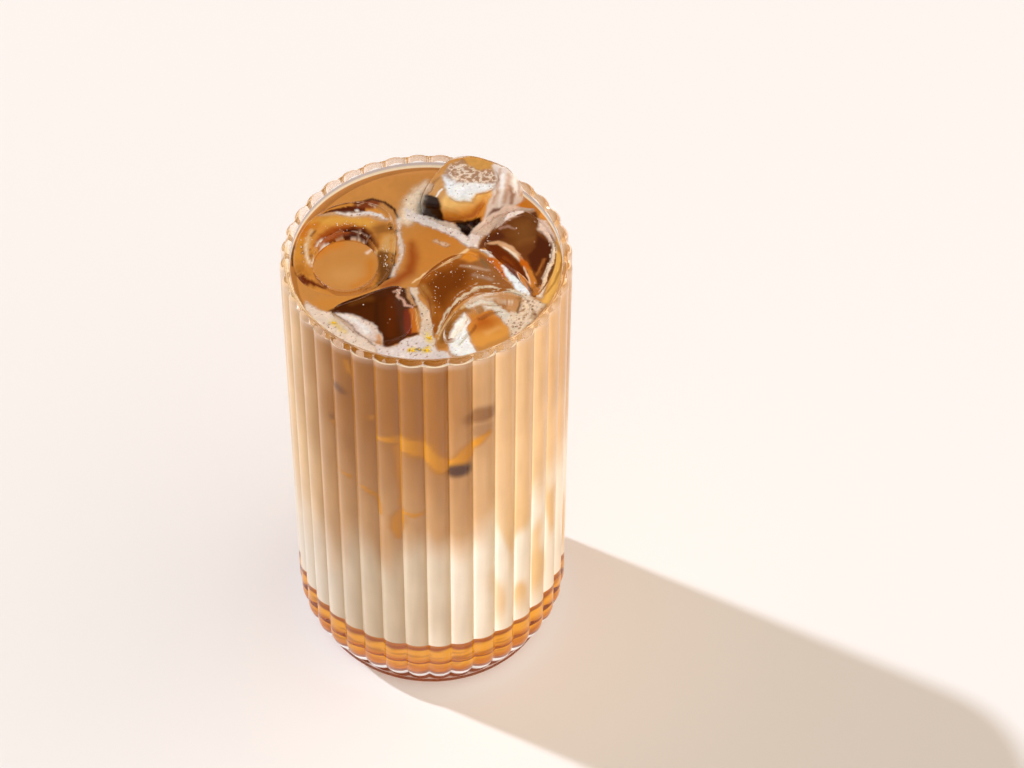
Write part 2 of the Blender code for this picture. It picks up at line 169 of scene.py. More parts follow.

# The drink from above, drawn in plan in mm as it is seen from the front: (colour, strength, softness in mm,
# points). Points (x, y) bound an area, and points (x, y, half width) are a line. Besides the colours of the
# drink and froth, the drawing holds painted shade, a painted shadow and painted highlights, named in the
# notes below.
PICTURE = [
    # open latte; the orange-brown streak right of the hollow block is a painted shadow
    ((204, 120, 28), 0.5, 3.0, [(2, 6, 8.0), (-1, 0, 4.0)]),
    ((150, 62, 0), 0.9, 1.7, [(-4.0, 7, 0.9), (-3.5, 2, 1.4), (-4.4, -3, 1.5), (-7.5, -6.5, 1.3),
     (-11, -8.2, 0.7)]),
    ((206, 132, 48), 0.8, 2.0, [(-27, -13), (-12, -10), (-13, -12.5), (-24, -17), (-30, -15)]),
    ((236, 146, 30), 0.95, 1.2, [(24, 21), (26, 27), (30, 22), (31, 16), (28.5, 18)]),
    ((252, 190, 92), 0.9, 0.7, [(33.8, 8, 0.8), (34, 0, 1.1), (33, -8, 1.2), (31, -13, 1.0)]),
    # hollow ice: the dark red-brown band round the back of the hollow and the dark crescents and outlines are
    # painted shade, and the pale streak at the hollow's left rim is a painted highlight
    ((80, 40, 14), 1.0, 0.3, [(-33, 9, 0.25), (-35, 4, 0.45), (-34.4, -1, 0.45)]),
    ((226, 164, 70), 0.9, 1.2, [(-31.5, 14, 1.0), (-27, 15.2, 1.2), (-21, 15.8, 1.4), (-15, 14.2, 1.2)]),
    ((206, 116, 22), 0.8, 1.2, [(-33, 8, 1.0), (-31.5, 12.5, 1.3), (-29, 14, 0.8)]),
    ((222, 150, 54), 0.8, 1.0, [(-33, 8, 1.0), (-33.4, 2, 1.0)]),
    ((160, 70, 14), 0.95, 0.9, [(-29.6, 6), (-28.2, 10), (-25.4, 12.8), (-21, 14), (-16.8, 13.2),
     (-14, 9.8), (-12.6, 6.5), (-12.5, 4.8), (-14.3, 6.3), (-17.9, 8.3), (-21.5, 8.5), (-25.6, 6.9),
     (-28.4, 3.8)]),
    ((70, 20, 4), 1.0, 0.7, [(-28.4, 5), (-27.4, 8.6), (-24.6, 10.6), (-22, 12), (-19.5, 12.9), (-16, 12.3),
     (-13.6, 8.8), (-12.7, 5.4), (-15.6, 7.6), (-20, 8.6), (-24, 8)]),
    ((226, 190, 160), 0.85, 0.4, [(-19.6, 11.0, 0.2), (-17.8, 11.2, 0.35), (-17.2, 9.8, 0.3),
     (-15.4, 9.4, 0.2)]),
    ((236, 196, 140), 0.85, 0.6, [(-30.3, 11.6, 0.5), (-31.2, 8, 0.6), (-31.4, 4, 0.5), (-30.6, 0, 0.4)]),
    ((240, 222, 198), 0.9, 0.35, [(-28.8, 4.6, 0.25), (-28.2, 7.2, 0.4), (-26.6, 8.8, 0.25)]),
    ((244, 222, 194), 0.85, 0.3, [(-31.6, 6.6, 0.2), (-31.2, 2.4, 0.3), (-29.8, -1.4, 0.2)]),
    ((116, 58, 18), 0.85, 0.3, [(-30.4, 9.4, 0.2), (-29.2, 11.6, 0.25)]),
    ((116, 58, 18), 0.85, 0.3, [(-32.6, 6, 0.15), (-32.2, 3, 0.25)]),
    ((116, 58, 18), 0.85, 0.3, [(-30.2, 4.8, 0.15), (-30, 1.2, 0.25)]),
    ((196, 150, 112), 0.85, 0.25, [(-24.4, 10.6, 0.15), (-22.4, 11.2, 0.2)]),
    ((84, 30, 6), 1.0, 0.25, [(-29.2, 17.1), (-25, 19.3), (-21.5, 20.7), (-16.6, 20.6), (-16.4, 18.2),
     (-21, 17.9), (-24.5, 18.4)]),
    ((126, 54, 20), 0.95, 0.5, [(-20, 20.4), (-19.4, 22), (-16, 23.1), (-12.6, 22.8), (-12, 20.6),
     (-15.5, 19.6)]),
    ((190, 130, 68), 0.95, 0.6, [(-12.6, 22.4), (-9.4, 20.4), (-7.8, 16.4), (-9.6, 15.4), (-11.6, 18.6),
     (-13.6, 20)]),
    ((62, 24, 8), 1.0, 0.25, [(-19.6, 21.9, 0.25), (-15, 23.2, 0.3), (-11.4, 22.2, 0.4), (-8.8, 19.2, 0.4),
     (-7.6, 15.9, 0.3)]),
    ((224, 186, 152), 0.8, 0.3, [(-18.6, 21.2, 0.3), (-17.4, 21.9, 0.25)]),
    ((224, 186, 152), 0.8, 0.3, [(-15.6, 21.4, 0.25), (-13.8, 20.4, 0.3)]),
    ((250, 240, 226), 0.95, 0.3, [(-18.8, 19.1, 0.45)]),
    ((150, 94, 44), 0.75, 1.4, [(-14.4, 13.6), (-11, 15), (-9.6, 11), (-11.8, 10.2), (-13.4, 6.6)]),
    ((208, 160, 98), 0.85, 1.0, [(-12.4, 5), (-11, 9.6), (-9.6, 10.6), (-9.4, 4), (-11, 3.4)]),
    ((116, 68, 26), 0.95, 0.7, [(-12.6, 4.6), (-9.6, 4), (-9.2, -3), (-10.4, -6), (-12.4, -7.4),
     (-12.2, -2)]),
    ((52, 26, 10), 1.0, 0.25, [(-9.8, 14.6, 0.25), (-8.8, 11, 0.4), (-8.4, 5, 0.45), (-8.7, -1, 0.55),
     (-9.8, -5.4, 0.55), (-12.2, -7.2, 0.35), (-13, -8.8, 0.2)]),
    ((108, 42, 10), 1.0, 0.4, [(-34, -1.2, 0.2), (-33, -4.2, 0.5), (-30.8, -6.6, 0.9), (-28, -8.2, 0.6),
     (-25.8, -9.5, 0.2)]),
    ((190, 118, 40), 0.8, 0.5, [(-32.6, -1.6, 0.8), (-30.6, -4.4, 0.7)]),
    ((130, 70, 26), 0.8, 0.4, [(-16.4, -10, 0.25), (-13.4, -8.8, 0.3)]),
    # pool in the hollow
    ((208, 118, 16), 0.75, 1.6, [(-28.4, 2, 0.5), (-26.4, 5.2, 1.2), (-22.6, 6.8, 0.9)]),
    ((202, 118, 22), 0.8, 1.6, [(-14.4, 0.6, 0.9), (-14.6, -5, 1.1), (-18.4, -8.2, 0.8)]),
    ((220, 160, 90), 0.4, 3.4, [(-22.5, -4.5, 2.5), (-19, -4, 2.5)]),
    ((244, 218, 190), 0.8, 0.5, [(-15.6, 3.8, 0.5), (-14.2, 5, 0.3)]),
    # tall ice: the near-black facets and the darker lower edge of its amber face are painted shade, and the
    # white line near its left edge is a painted highlight
    ((208, 148, 82), 1.0, 0.6, [(-2.2, 19), (0, 27.6), (3, 33), (5.5, 36.4), (7.5, 38), (7, 24),
     (3.2, 17)]),
    ((150, 92, 44), 0.8, 0.5, [(-0.8, 25, 0.5), (0.6, 28.4, 0.4), (2.6, 31.6, 0.2)]),
    ((246, 236, 220), 1.0, 0.25, [(2.0, 24.5, 0.25), (3.3, 27.3, 0.3)]),
    ((242, 190, 110), 1.0, 0.7, [(3.6, 17), (3.4, 22), (5.4, 28), (12, 29), (17, 28.6), (16, 22),
     (14.4, 18), (9, 15.6)]),
    ((214, 132, 36), 0.95, 2.4, [(3.2, 15.6), (3.4, 19), (8, 19.8), (12, 21.6), (15.4, 27), (15.4, 19.6),
     (13.6, 15.6)]),
    ((176, 88, 12), 0.85, 1.0, [(3.6, 16.2, 0.5), (8, 16.2, 0.6), (12, 18.2, 0.9), (14.2, 22, 0.6)]),
    ((84, 30, 10), 0.9, 0.3, [(3.4, 16.4, 0.2), (6, 15.2, 0.3), (9, 15.6, 0.3)]),
    ((34, 6, 0), 1.0, 0.4, [(-3.9, 17.4), (-3.0, 21.2), (-1.4, 25.2), (0.8, 25), (2.6, 23.8), (3.5, 20),
     (4.5, 14.6), (1.0, 15.0)]),
    ((120, 66, 36), 0.8, 0.6, [(-1.8, 25.6, 0.5), (-2.8, 22, 0.4)]),
    ((30, 6, 2), 1.0, 0.35, [(7.0, 15.0), (10.6, 15.8), (14, 17), (14.2, 14.4), (12.6, 10.4), (11.2, 8.8),
     (8.6, 11.6)]),
    ((150, 110, 86), 0.7, 0.3, [(10.8, 14.2, 0.1), (11.6, 12.6, 0.2)]),
    ((206, 148, 74), 1.0, 0.6, [(9.4, 35.2), (9.6, 39.4), (16.4, 39.6), (17, 35.6), (13, 34)]),
    ((232, 214, 200), 1.0, 0.5, [(14.4, 15), (15.2, 20), (16.7, 26), (17.4, 31), (16.6, 36.4), (18.6, 40),
     (23, 37.6), (25.4, 33), (26.4, 27), (24.6, 22.6), (20, 19.6)]),
    ((202, 158, 128), 0.8, 0.6, [(20.2, 22.6, 0.5), (20.8, 28, 0.8), (21.2, 33, 0.5)]),
    ((166, 112, 76), 0.85, 0.5, [(21.8, 22.2, 0.5), (22.2, 25.6, 0.7), (21.4, 28.6, 0.4)]),
    ((198, 152, 122), 0.8, 0.4, [(17.2, 22, 0.25), (18.4, 29, 0.35), (18.8, 35, 0.3)]),
    ((188, 150, 128), 0.7, 0.4, [(23.8, 26, 0.3), (23.9, 31, 0.4), (22.6, 36, 0.3)]),
    ((252, 244, 236), 0.9, 0.4, [(18.6, 20.8, 0.3), (19.3, 27, 0.5), (19.6, 33, 0.4)]),
    ((252, 242, 232), 0.9, 0.4, [(22.9, 27.4, 0.4), (22.8, 32, 0.5), (21.4, 37, 0.4)]),
    ((112, 58, 34), 0.9, 0.5, [(15.6, 17.4), (17, 20.2), (19.8, 20.9), (18.4, 19.2)]),
    ((206, 140, 66), 0.8, 0.6, [(24.8, 25, 0.7), (25.8, 29, 0.4)]),
    # right ice: its dark browns are painted shade
    ((112, 58, 20), 1.0, 0.3, [(13, 5.4), (14.2, 8.8), (17, 11.8), (21, 15.6), (24, 17.8), (28.4, 19.4),
     (29.4, 15.2), (30.6, 11), (33.5, 7.4), (33, 2.6), (31.4, -3), (28.6, -10), (28, -12), (25.8, -9.6),
     (22.6, -4.6), (19.4, 1), (16, 6)]),
    ((138, 84, 36), 0.9, 3.0, [(21.4, 10.6), (23, 15), (27, 17.4), (28.4, 13), (28, 9), (24, 7)]),
    ((82, 32, 8), 0.95, 0.6, [(28.8, 10.8), (33, 7), (32.6, 2), (30, -2.4), (28, -2.6), (26, 3),
     (28.2, 6)]),
    ((92, 42, 20), 0.9, 0.6, [(14, 6.4), (15.2, 9.6), (19, 12.4), (20.6, 9.6), (18, 8.4)]),
    ((190, 146, 124), 0.85, 0.4, [(19, 13, 0.3), (21, 13.8, 0.4), (22.6, 13, 0.2)]),
    ((170, 120, 92), 0.8, 0.5, [(18.6, 14.6, 0.3), (20.4, 15.2, 0.3)]),
    ((206, 160, 128), 0.9, 0.5, [(21, 16.2, 0.3), (24, 18.4, 0.7), (27.4, 19.6, 0.6)]),
    ((104, 40, 6), 1.0, 0.3, [(15.4, 7), (18.6, 6.6), (21.4, 3.4), (24.6, -0.6), (26.4, -6), (27.8, -11.4),
     (25.6, -9.4), (22, -3.6), (19, 1.6)]),
    ((142, 66, 14), 0.8, 0.6, [(20.2, 2.6, 0.3), (22.4, -0.6, 0.5), (25, -6, 0.4)]),
    ((222, 168, 122), 1.0, 0.4, [(15.8, 7.2, 0.3), (18.6, 7.8, 0.7), (21.4, 6.2, 0.9), (23.6, 3.4, 0.8),
     (24.6, 1.6, 0.5)]),
    ((250, 226, 196), 0.9, 0.3, [(20.4, 6.2, 0.3), (22.8, 3.6, 0.45), (24.2, 1.6, 0.2)]),
    ((204, 98, 12), 1.0, 0.4, [(24.2, 2.8), (26, 1), (27.4, -1.4), (26, -1.6), (24.4, 0)]),
    ((206, 124, 46), 1.0, 0.3, [(25.6, -0.6), (27.4, -2), (28.6, -6), (28.4, -9.4), (27.2, -8.4),
     (26.4, -4.4)]),
    ((244, 206, 172), 0.9, 0.2, [(25.4, -1, 0.2), (26.3, -4, 0.25), (27.2, -9, 0.2)]),
    ((190, 112, 46), 0.8, 0.4, [(28.6, -3.6, 0.3), (29.8, -0.6, 0.4), (30.6, 2, 0.3)]),
    # centre ice: its browns, darkest in the core, are painted shade
    ((166, 92, 26), 1.0, 0.4, [(-2.2, -8.4), (-1, -5.2), (5.2, -0.2), (10.6, 4.8), (13.6, 4.4), (16, 2),
     (19.6, -4.6), (22.4, -8.4), (17.6, -8), (13.4, -7.8), (9.2, -11), (6.4, -16), (4, -22.4), (2.4, -26),
     (2, -20), (0.4, -14), (-1.4, -10)]),
    ((154, 94, 40), 0.95, 1.6, [(9.6, -0.6), (14, 2.6), (17, -0.6), (20.8, -7.6), (13.6, -7.2),
     (10.8, -5.2)]),
    ((116, 54, 6), 0.95, 2.4, [(0.2, -7.4), (3.3, -3.1), (9.4, -0.4), (12, -3.4), (10.4, -8.3),
     (7.2, -11.1), (5, -16.7), (2, -13.4)]),
    ((184, 128, 62), 0.8, 0.9, [(-0.6, -8, 0.6), (0.8, -12, 0.5), (2, -18, 0.4)]),
    ((226, 142, 46), 1.0, 0.7, [(8.6, 1.8), (10.8, 4.6), (13.4, 3.8), (13.6, 1.4), (11.4, 0.6)]),
    ((200, 160, 128), 0.85, 0.4, [(8.8, -0.6, 0.2), (12, -1.2, 0.4), (16.4, -2.2, 0.25)]),
    ((184, 150, 126), 0.7, 0.6, [(12.4, -4, 0.4), (17, -5.4, 0.5)]),
    ((128, 98, 58), 0.7, 0.8, [(14.4, 1.4, 0.6), (15.8, -1, 0.5)]),
    ((240, 198, 142), 1.0, 0.25, [(-3.4, -6.8, 0.2), (0, -3.6, 0.3), (5, 0.2, 0.35), (8, 2.6, 0.5),
     (10.4, 4.9, 0.5)]),
    ((150, 100, 54), 0.7, 0.25, [(6.4, 1.2, 0.15), (9.4, 3.4, 0.2)]),
    # arch ice and the pool in its bow
    ((204, 146, 92), 1.0, 0.5, [(9, -15.4), (10.4, -12.6), (14, -10), (19, -9.6), (23, -11), (24.8, -14),
     (24.4, -16), (23.6, -17), (21.6, -15.6), (19, -14.6), (16.4, -13.4), (12.6, -13.6)]),
    ((156, 96, 44), 0.8, 0.5, [(12.4, -11.6, 0.2), (16, -9.9, 0.3), (20.6, -9.8, 0.3)]),
    ((244, 222, 196), 0.8, 0.3, [(10.4, -14.6, 0.2), (13.6, -12.2, 0.35), (18.4, -12.4, 0.35),
     (22.4, -13.6, 0.2)]),
    ((150, 92, 46), 0.8, 0.4, [(17, -13.4, 0.3), (20.8, -13.6, 0.4)]),
    ((96, 56, 26), 0.9, 0.3, [(24.6, -13.4, 0.2), (24.5, -15.6, 0.3), (23.4, -17, 0.3)]),
    ((236, 208, 180), 0.85, 0.4, [(11.6, -12.8, 0.3), (15.6, -10.8, 0.5), (20.4, -10.8, 0.4)]),
    ((176, 112, 46), 1.0, 0.4, [(2.9, -29), (3.2, -26.8), (5.2, -21.6), (7.2, -18.6), (9.6, -15.4),
     (10.8, -16), (9.2, -20), (8.2, -24), (6.6, -28.2), (5.4, -29.8), (4, -29.9)]),
    ((140, 84, 24), 0.9, 0.7, [(6.4, -20.4, 0.5), (5.8, -23.6, 0.9), (4.6, -27.4, 0.5)]),
    ((238, 200, 140), 0.9, 0.25, [(3.6, -26.6, 0.15), (5.2, -21.4, 0.25), (7.6, -17.6, 0.25),
     (10, -15, 0.2)]),
    ((224, 150, 62), 1.0, 0.8, [(10.7, -18.6), (12.4, -16.6), (15.6, -16.2), (18.9, -18), (21, -21),
     (22.6, -23.6), (19.4, -26.2), (14.6, -29), (12.6, -28.6), (11.2, -24)]),
    ((180, 86, 4), 0.9, 3.0, [(11.8, -18.6), (16, -16.8), (19, -19.4), (18, -22.6), (12.4, -24)]),
    ((230, 168, 92), 0.7, 1.0, [(16, -24.4, 0.6), (19, -22.4, 0.5)]),
    # front ice: the dark brown over most of the block is painted shade
    ((78, 33, 2), 1.0, 0.3, [(-24.6, -16.9), (-18, -12.9), (-11, -9.4), (-7.6, -8.7), (-4.6, -9),
     (-2.6, -12), (-2, -16), (-1.9, -21), (-1.4, -25), (-5.6, -26.6), (-6.4, -28.2), (-9, -29.4),
     (-11, -29.4), (-16, -25), (-20, -20.6)]),
    ((112, 62, 14), 0.8, 1.0, [(-19, -14.4, 0.7), (-14, -12.6, 0.9)]),
    ((64, 26, 4), 0.8, 0.6, [(-12.4, -14.6, 0.5), (-12.2, -20, 0.7), (-11.6, -23.6, 0.6)]),
    ((96, 38, 3), 0.8, 1.0, [(-9, -11.4, 0.8), (-8.6, -18, 1.4), (-8.4, -25, 1.2)]),
    ((128, 40, 4), 0.9, 0.5, [(-5.4, -16.6), (-3.6, -16.2), (-3, -24.8), (-5, -24.6)]),
    ((196, 104, 24), 1.0, 0.35, [(-4.0, -16.2), (-2.6, -15.6), (-2.1, -20), (-1.5, -24.4), (-3, -24.4),
     (-3.4, -20)]),
    ((236, 174, 100), 0.9, 0.2, [(-2.4, -16, 0.15), (-1.9, -20, 0.2), (-1.5, -24, 0.2)]),
    ((224, 172, 146), 0.95, 0.25, [(-8.2, -10.2, 0.25), (-6.6, -9.4, 0.4), (-7.2, -11.6, 0.3),
     (-5.6, -13, 0.35), (-5, -14.8, 0.4), (-3.4, -15.6, 0.3)]),
    ((206, 150, 96), 0.95, 0.4, [(-4.6, -9.4, 0.4), (-4, -12, 0.5), (-2.8, -14.8, 0.4)]),
]

# Froth, drawn in the same way with a share of pinholes before the points
FROTH = [
    ((255, 232, 198), 0.88, 1.8, 0.0, [(-7.6, 15), (-6.6, 22), (-4, 27), (-0.8, 30), (0.4, 29), (-1.6, 25),
     (-2.6, 18), (-5, 14)]),
    ((236, 216, 196), 0.85, 0.6, 0.1, [(-7.6, 16, 0.5), (-7.2, 10, 0.5), (-6.4, 5, 0.6), (-7.2, 0, 0.5),
     (-8.8, -4.6, 0.4)]),
    ((214, 176, 140), 0.75, 0.8, 0.3, [(-28.4, 17, 0.2), (-24, 17.8, 0.5), (-19, 17.4, 0.7),
     (-14.6, 17.2, 0.9), (-10.8, 15.6, 0.5)]),
    ((234, 220, 208), 0.95, 0.4, 0.3, [(-24, 18, 0.3), (-19.6, 17.6, 0.4), (-15.6, 17.8, 0.7),
     (-12.6, 17.2, 0.6), (-10.8, 16, 0.3)]),
    ((240, 222, 206), 1.0, 0.5, 0.2, [(-6.4, 20.4), (-2.8, 17.8), (0.6, 16.6), (4, 15.4), (7, 14.8),
     (8.6, 12), (10.4, 9.6), (12.8, 6), (10.6, 5.6), (8.4, 8.4), (5, 11.4), (1, 13), (-2.4, 14.6),
     (-5.6, 16)]),
    ((246, 222, 204), 1.0, 0.4, 0.12, [(10.6, 9.8), (13.8, 15.2), (17, 18.2), (20.6, 21.6), (24, 21),
     (28, 20), (24.4, 18.4), (20.4, 15.6), (16.6, 12), (14.2, 9), (13, 5.6), (11.4, 7.2)]),
    ((204, 164, 140), 0.7, 0.3, 0.0, [(14.6, 13.4, 0.15), (18.4, 17.4, 0.25), (23.4, 19.4, 0.2)]),
    ((226, 184, 146), 0.8, 0.6, 0.3, [(2.4, 8.2, 0.6), (4.6, 6.8, 0.9)]),
    ((252, 248, 240), 1.0, 0.8, 0.16, [(3.8, 32.6), (4.4, 27), (5.4, 24.2), (8, 22.7), (11, 23.2),
     (12.6, 25.8), (16.6, 27), (17.4, 30), (13.4, 29.6), (11, 30.4), (8, 30), (6.4, 33)]),
    ((242, 218, 192), 0.95, 0.9, 0.85, [(4.2, 32.6), (5.6, 36.6), (9, 38.4), (10, 36.2), (12.6, 34.6),
     (17, 34.4), (18.2, 31), (17, 29), (11, 29.6), (7.4, 29.4)]),
    ((240, 206, 180), 1.0, 0.5, 0.12, [(28.8, 16.4), (31.2, 15.6), (33.6, 10), (33.6, 7), (31, 9.8),
     (29.2, 12.6)]),
    ((246, 218, 186), 0.95, 0.4, 0.1, [(33.4, 7, 0.5), (32.6, 1, 0.4), (31, -5, 0.5), (29.4, -11, 0.8)]),
    ((240, 222, 206), 0.95, 0.4, 0.15, [(14, 4.8, 0.4), (16.2, 4.2, 0.9), (17.4, 2.4, 0.5)]),
    ((206, 104, 6), 1.0, 0.4, 0.0, [(16.4, 1.6, 0.8), (18.4, 0, 1.1), (20.4, -4, 0.7)]),
    ((255, 254, 248), 1.0, 0.35, 0.05, [(19.9, -0.8, 0.3), (21.6, -4, 0.9), (23.4, -7.2, 1.0),
     (26, -10.4, 1.2)]),
    ((238, 218, 186), 0.95, 0.35, 0.1, [(7.2, -14.4, 0.4), (9.6, -11.6, 0.7), (13.4, -8.6, 0.8),
     (18, -8.5, 0.6), (22, -9.4, 0.6), (26, -11.6, 0.6)]),
    ((238, 214, 176), 0.9, 0.25, 0.0, [(7.2, -14.4, 0.3), (5, -18.6, 0.25), (3.4, -24.6, 0.3)]),
    ((238, 224, 202), 0.95, 0.5, 0.25, [(11, -15.4, 0.5), (14, -13.6, 0.7), (17.4, -14.4, 0.9),
     (19.6, -17, 1.4), (22, -20, 1.6)]),
    ((244, 216, 182), 0.95, 0.7, 0.45, [(25, -10.4), (28.4, -12.4), (31, -14), (27.4, -21), (22.6, -26),
     (20.6, -20), (22, -17), (24.6, -17)]),
    ((255, 250, 238), 1.0, 0.6, 0.06, [(10.5, -17.4), (8.2, -20.6), (6.9, -24), (6.4, -28), (6.4, -30.4),
     (9.4, -33), (13.4, -31), (12, -27.6), (10.8, -23.6), (10.8, -19.4)]),
    ((238, 210, 188), 0.95, 0.5, 0.2, [(-23, -17.8), (-19, -18), (-16, -19.2), (-13, -21.4), (-11, -24.2),
     (-10.1, -27.4), (-10.5, -29.6), (-12.4, -29.5), (-15.4, -27), (-18, -23.8), (-20.4, -20.8)]),
    ((250, 240, 230), 0.85, 0.9, 0.0, [(-20.6, -18.9, 0.5), (-17.4, -20.4, 0.9), (-14.4, -24, 0.9)]),
    ((218, 150, 88), 0.95, 0.6, 0.0, [(-11.6, -25.4, 0.5), (-11.2, -28.2, 0.8)]),
    ((122, 90, 66), 0.9, 0.2, 0.0, [(-24, -17.4, 0.15), (-19, -21.8, 0.2), (-15, -26.4, 0.2),
     (-12, -29.6, 0.15)]),
    ((240, 214, 188), 1.0, 0.7, 0.22, [(-27.6, -16.4), (-24, -17.8), (-19.4, -22.2), (-15.4, -26.6),
     (-12, -30), (-12, -33.4), (-22, -28), (-31, -17), (-30.4, -14)]),
    ((234, 204, 172), 1.0, 0.4, 0.15, [(-4.4, -8.6), (-2.2, -8.6), (-1.4, -12.6), (0.6, -16), (2, -20),
     (2.4, -25), (3.2, -30), (-1.2, -31), (-1, -25), (-0.6, -20), (-1.4, -16), (-2.4, -13)]),
    ((236, 218, 206), 0.95, 0.6, 0.25, [(-12.4, -29.4), (-9, -29.6), (-6.2, -28.4), (-5.4, -26.8),
     (-1, -25.4), (3.4, -30.4), (6, -30.8), (8, -34), (0, -35), (-10, -34)]),
    ((244, 206, 60), 0.8, 0.5, 0.4, [(-3.4, -30.6, 1.0), (-2.6, -30.2, 0.9)]),
    ((244, 206, 60), 0.8, 0.5, 0.4, [(0.6, -30.6, 0.9), (1, -29.6, 0.7)]),
    ((246, 216, 90), 0.7, 0.5, 0.4, [(1.0, -24.8, 0.5), (1.4, -27.6, 0.5)]),
    ((236, 196, 96), 0.7, 0.8, 0.3, [(-23.2, -21.4, 1.0), (-20.4, -24.4, 0.7)]),
    ((110, 90, 30), 0.9, 0.4, 0.0, [(-1.8, -30.4, 0.4), (-0.8, -30.5, 0.5)]),
]
# Bubbles in the ice: middle in plan, spread each way, number
ICE_BUBBLES = [
    (6.5, -6.0, 4.0, 3.6, 26), (2.8, -13.0, 1.5, 5.5, 26), (14.0, -5.0, 5.0, 2.6, 26),
    (-6.4, -12.0, 1.4, 2.0, 14), (-9.0, -20.0, 5.0, 5.5, 5), (-10.6, 0.0, 1.0, 5.0, 40),
    (-20.0, 11.0, 6.0, 2.0, 36), (-16.0, 21.0, 3.5, 1.2, 14), (-31.5, 4.0, 1.4, 6.0, 20),
    (15.6, 9.0, 1.2, 1.8, 14), (24.0, 8.0, 4.5, 5.0, 5), (17.0, -12.0, 5.0, 1.2, 50),
    (7.5, -18.5, 1.2, 2.6, 22),
]
GOLDEN_BUBBLES = [(-3.0, -30.8, 1.1, 14), (0.7, -30.6, 0.9, 12), (1.2, -26.4, 0.6, 9), (-23.0, -21.6, 0.8, 8)]
FILM_GAP = 0.4 * MM
LOOK_STEP = 0.28 * MM
LOOK_REACH = 0.7 * MM
SAME_PLACE = 0.9 * MM
SEEN_FROM_ABOVE = 0.888
SEED = 11


# Streaks of caramel and sunk ice behind the wall, as (turn from the front in degrees, height in mm, half
# width in mm)
CARAMEL_STREAKS = [
    [(-18.5, 110, 0.6), (-12.5, 111, 1.1), (-8, 109.5, 2.6), (-1.5, 108.0, 2.8), (3, 104.5, 1.7),
     (8, 100.5, 2.1), (12.5, 101, 1.9), (16, 103.5, 1.5), (19, 107, 1.6), (22, 107.5, 1.1), (26.5, 111, 0.6)],
    [(-11.5, 108, 1.0), (-11.2, 100, 0.9), (-10.8, 90, 0.7), (-11.4, 84, 0.5)],
    [(-27, 88.5, 0.4), (-22, 86.5, 0.6), (-19.5, 83, 0.8), (-18.8, 79.5, 0.5)],
    [(-10.6, 82.5, 0.9), (-11.2, 78.5, 1.8), (-12.2, 75, 1.5), (-12.4, 71, 0.7)],
    [(-9.6, 81.8, 0.5), (-5, 81.2, 0.6), (-1.5, 82.2, 0.4)],
    [(-33.5, 135.5, 0.4), (-32.5, 132.5, 0.7), (-31, 131, 0.5)],
    [(-38, 91, 0.3), (-34, 90, 0.4)],
    [(-22.4, 117.5, 0.6)],
    [(-42, 108, 0.6)],
]
SUNK_ICE_PATCHES = [
    ((136, 84, 28), 0.85, [(20.4, 118.2, 2.6), (24.8, 118.6, 2.9)]),
    ((150, 102, 56), 0.6, [(22, 112.5, 2.2), (24.5, 113, 2.2)]),
    ((80, 38, 0), 1.0, [(12.2, 98.2, 2.3), (15.0, 98.6, 2.4)]),
    ((104, 58, 14), 0.85, [(-37.5, 124.5, 1.2), (-35.5, 123.5, 0.9)]),
    ((116, 68, 22), 0.7, [(-43, 110, 0.8)]),
]

# Colours, as 0 to 255 in sRGB
LATTE_TOP = (198, 132, 62)
LATTE_BROWN = (174, 110, 26)
LATTE_MILKY_AND_LIT = (236, 196, 146)
MILK_LIT = (248, 236, 218)
MILK_SHADED = (222, 202, 174)
MILK_GOLDEN_LIGHT = (236, 196, 140)
CARAMEL_STREAK = (214, 142, 0)
CARAMEL_GLOW = (190, 120, 0)
FROTH_HOLE = (160, 108, 66)
RIM_CREAM = (232, 210, 192)


def linear(colour):
    """An sRGB colour of 0 to 255 as linear light."""
    return tuple((c / 255.0 / 12.92) if c <= 10.31 else ((c / 255.0 + 0.055) / 1.055) ** 2.4 for c in colour)


def smoothstep(low, high, value):
    share = np.clip((value - low) / (high - low), 0.0, 1.0)
    return share * share * (3.0 - 2.0 * share)


def line_reach(x, y, line):
    """How far each place lies inside a line with half widths, in mm; less than 0 outside it."""
    reach = np.full(len(x), -99.0)
    ends = line[1:] if len(line) > 1 else line
    for (x0, y0, wide0), (x1, y1, wide1) in zip(line, ends):
        length = max(1e-6, (x1 - x0) ** 2 + (y1 - y0) ** 2)
        t = np.clip(((x - x0) * (x1 - x0) + (y - y0) * (y1 - y0)) / length, 0.0, 1.0)
        away = np.hypot(x - x0 - t * (x1 - x0), y - y0 - t * (y1 - y0))
        reach = np.maximum(reach, wide0 + (wide1 - wide0) * t - away)
    return reach


def area_reach(x, y, corners):
    """How far each place lies inside an area, in mm; less than 0 outside it."""
    away = np.full(len(x), 99.0)
    inside = np.zeros(len(x), bool)
    for (x0, y0), (x1, y1) in zip(corners, corners[1:] + corners[:1]):
        length = max(1e-6, (x1 - x0) ** 2 + (y1 - y0) ** 2)
        t = np.clip(((x - x0) * (x1 - x0) + (y - y0) * (y1 - y0)) / length, 0.0, 1.0)
        away = np.minimum(away, np.hypot(x - x0 - t * (x1 - x0), y - y0 - t * (y1 - y0)))
        crosses = (y0 > y) != (y1 > y)
        inside ^= crosses & (x < x0 + (x1 - x0) * (y - y0) / (y1 - y0 + 1e-9 * (y1 == y0)))
    return np.where(inside, away, -away)


def cover_of(places, softness, shape):
    """1 inside a drawn shape and 0 outside it, for places in metres; its edge blurs over the softness."""
    x = places[:, 0] / MM
    y = places[:, 1] / MM
    reach = line_reach(x, y, shape) if len(shape[0]) == 3 else area_reach(x, y, shape)
    return smoothstep(-softness, softness, reach)


def paint_shapes(shades, places, shapes):
    for colour, strength, softness, shape in shapes:
        cover = (strength * cover_of(places, softness, shape))[:, None]
        shades += (np.array(linear(colour)) - shades) * cover
    return shades


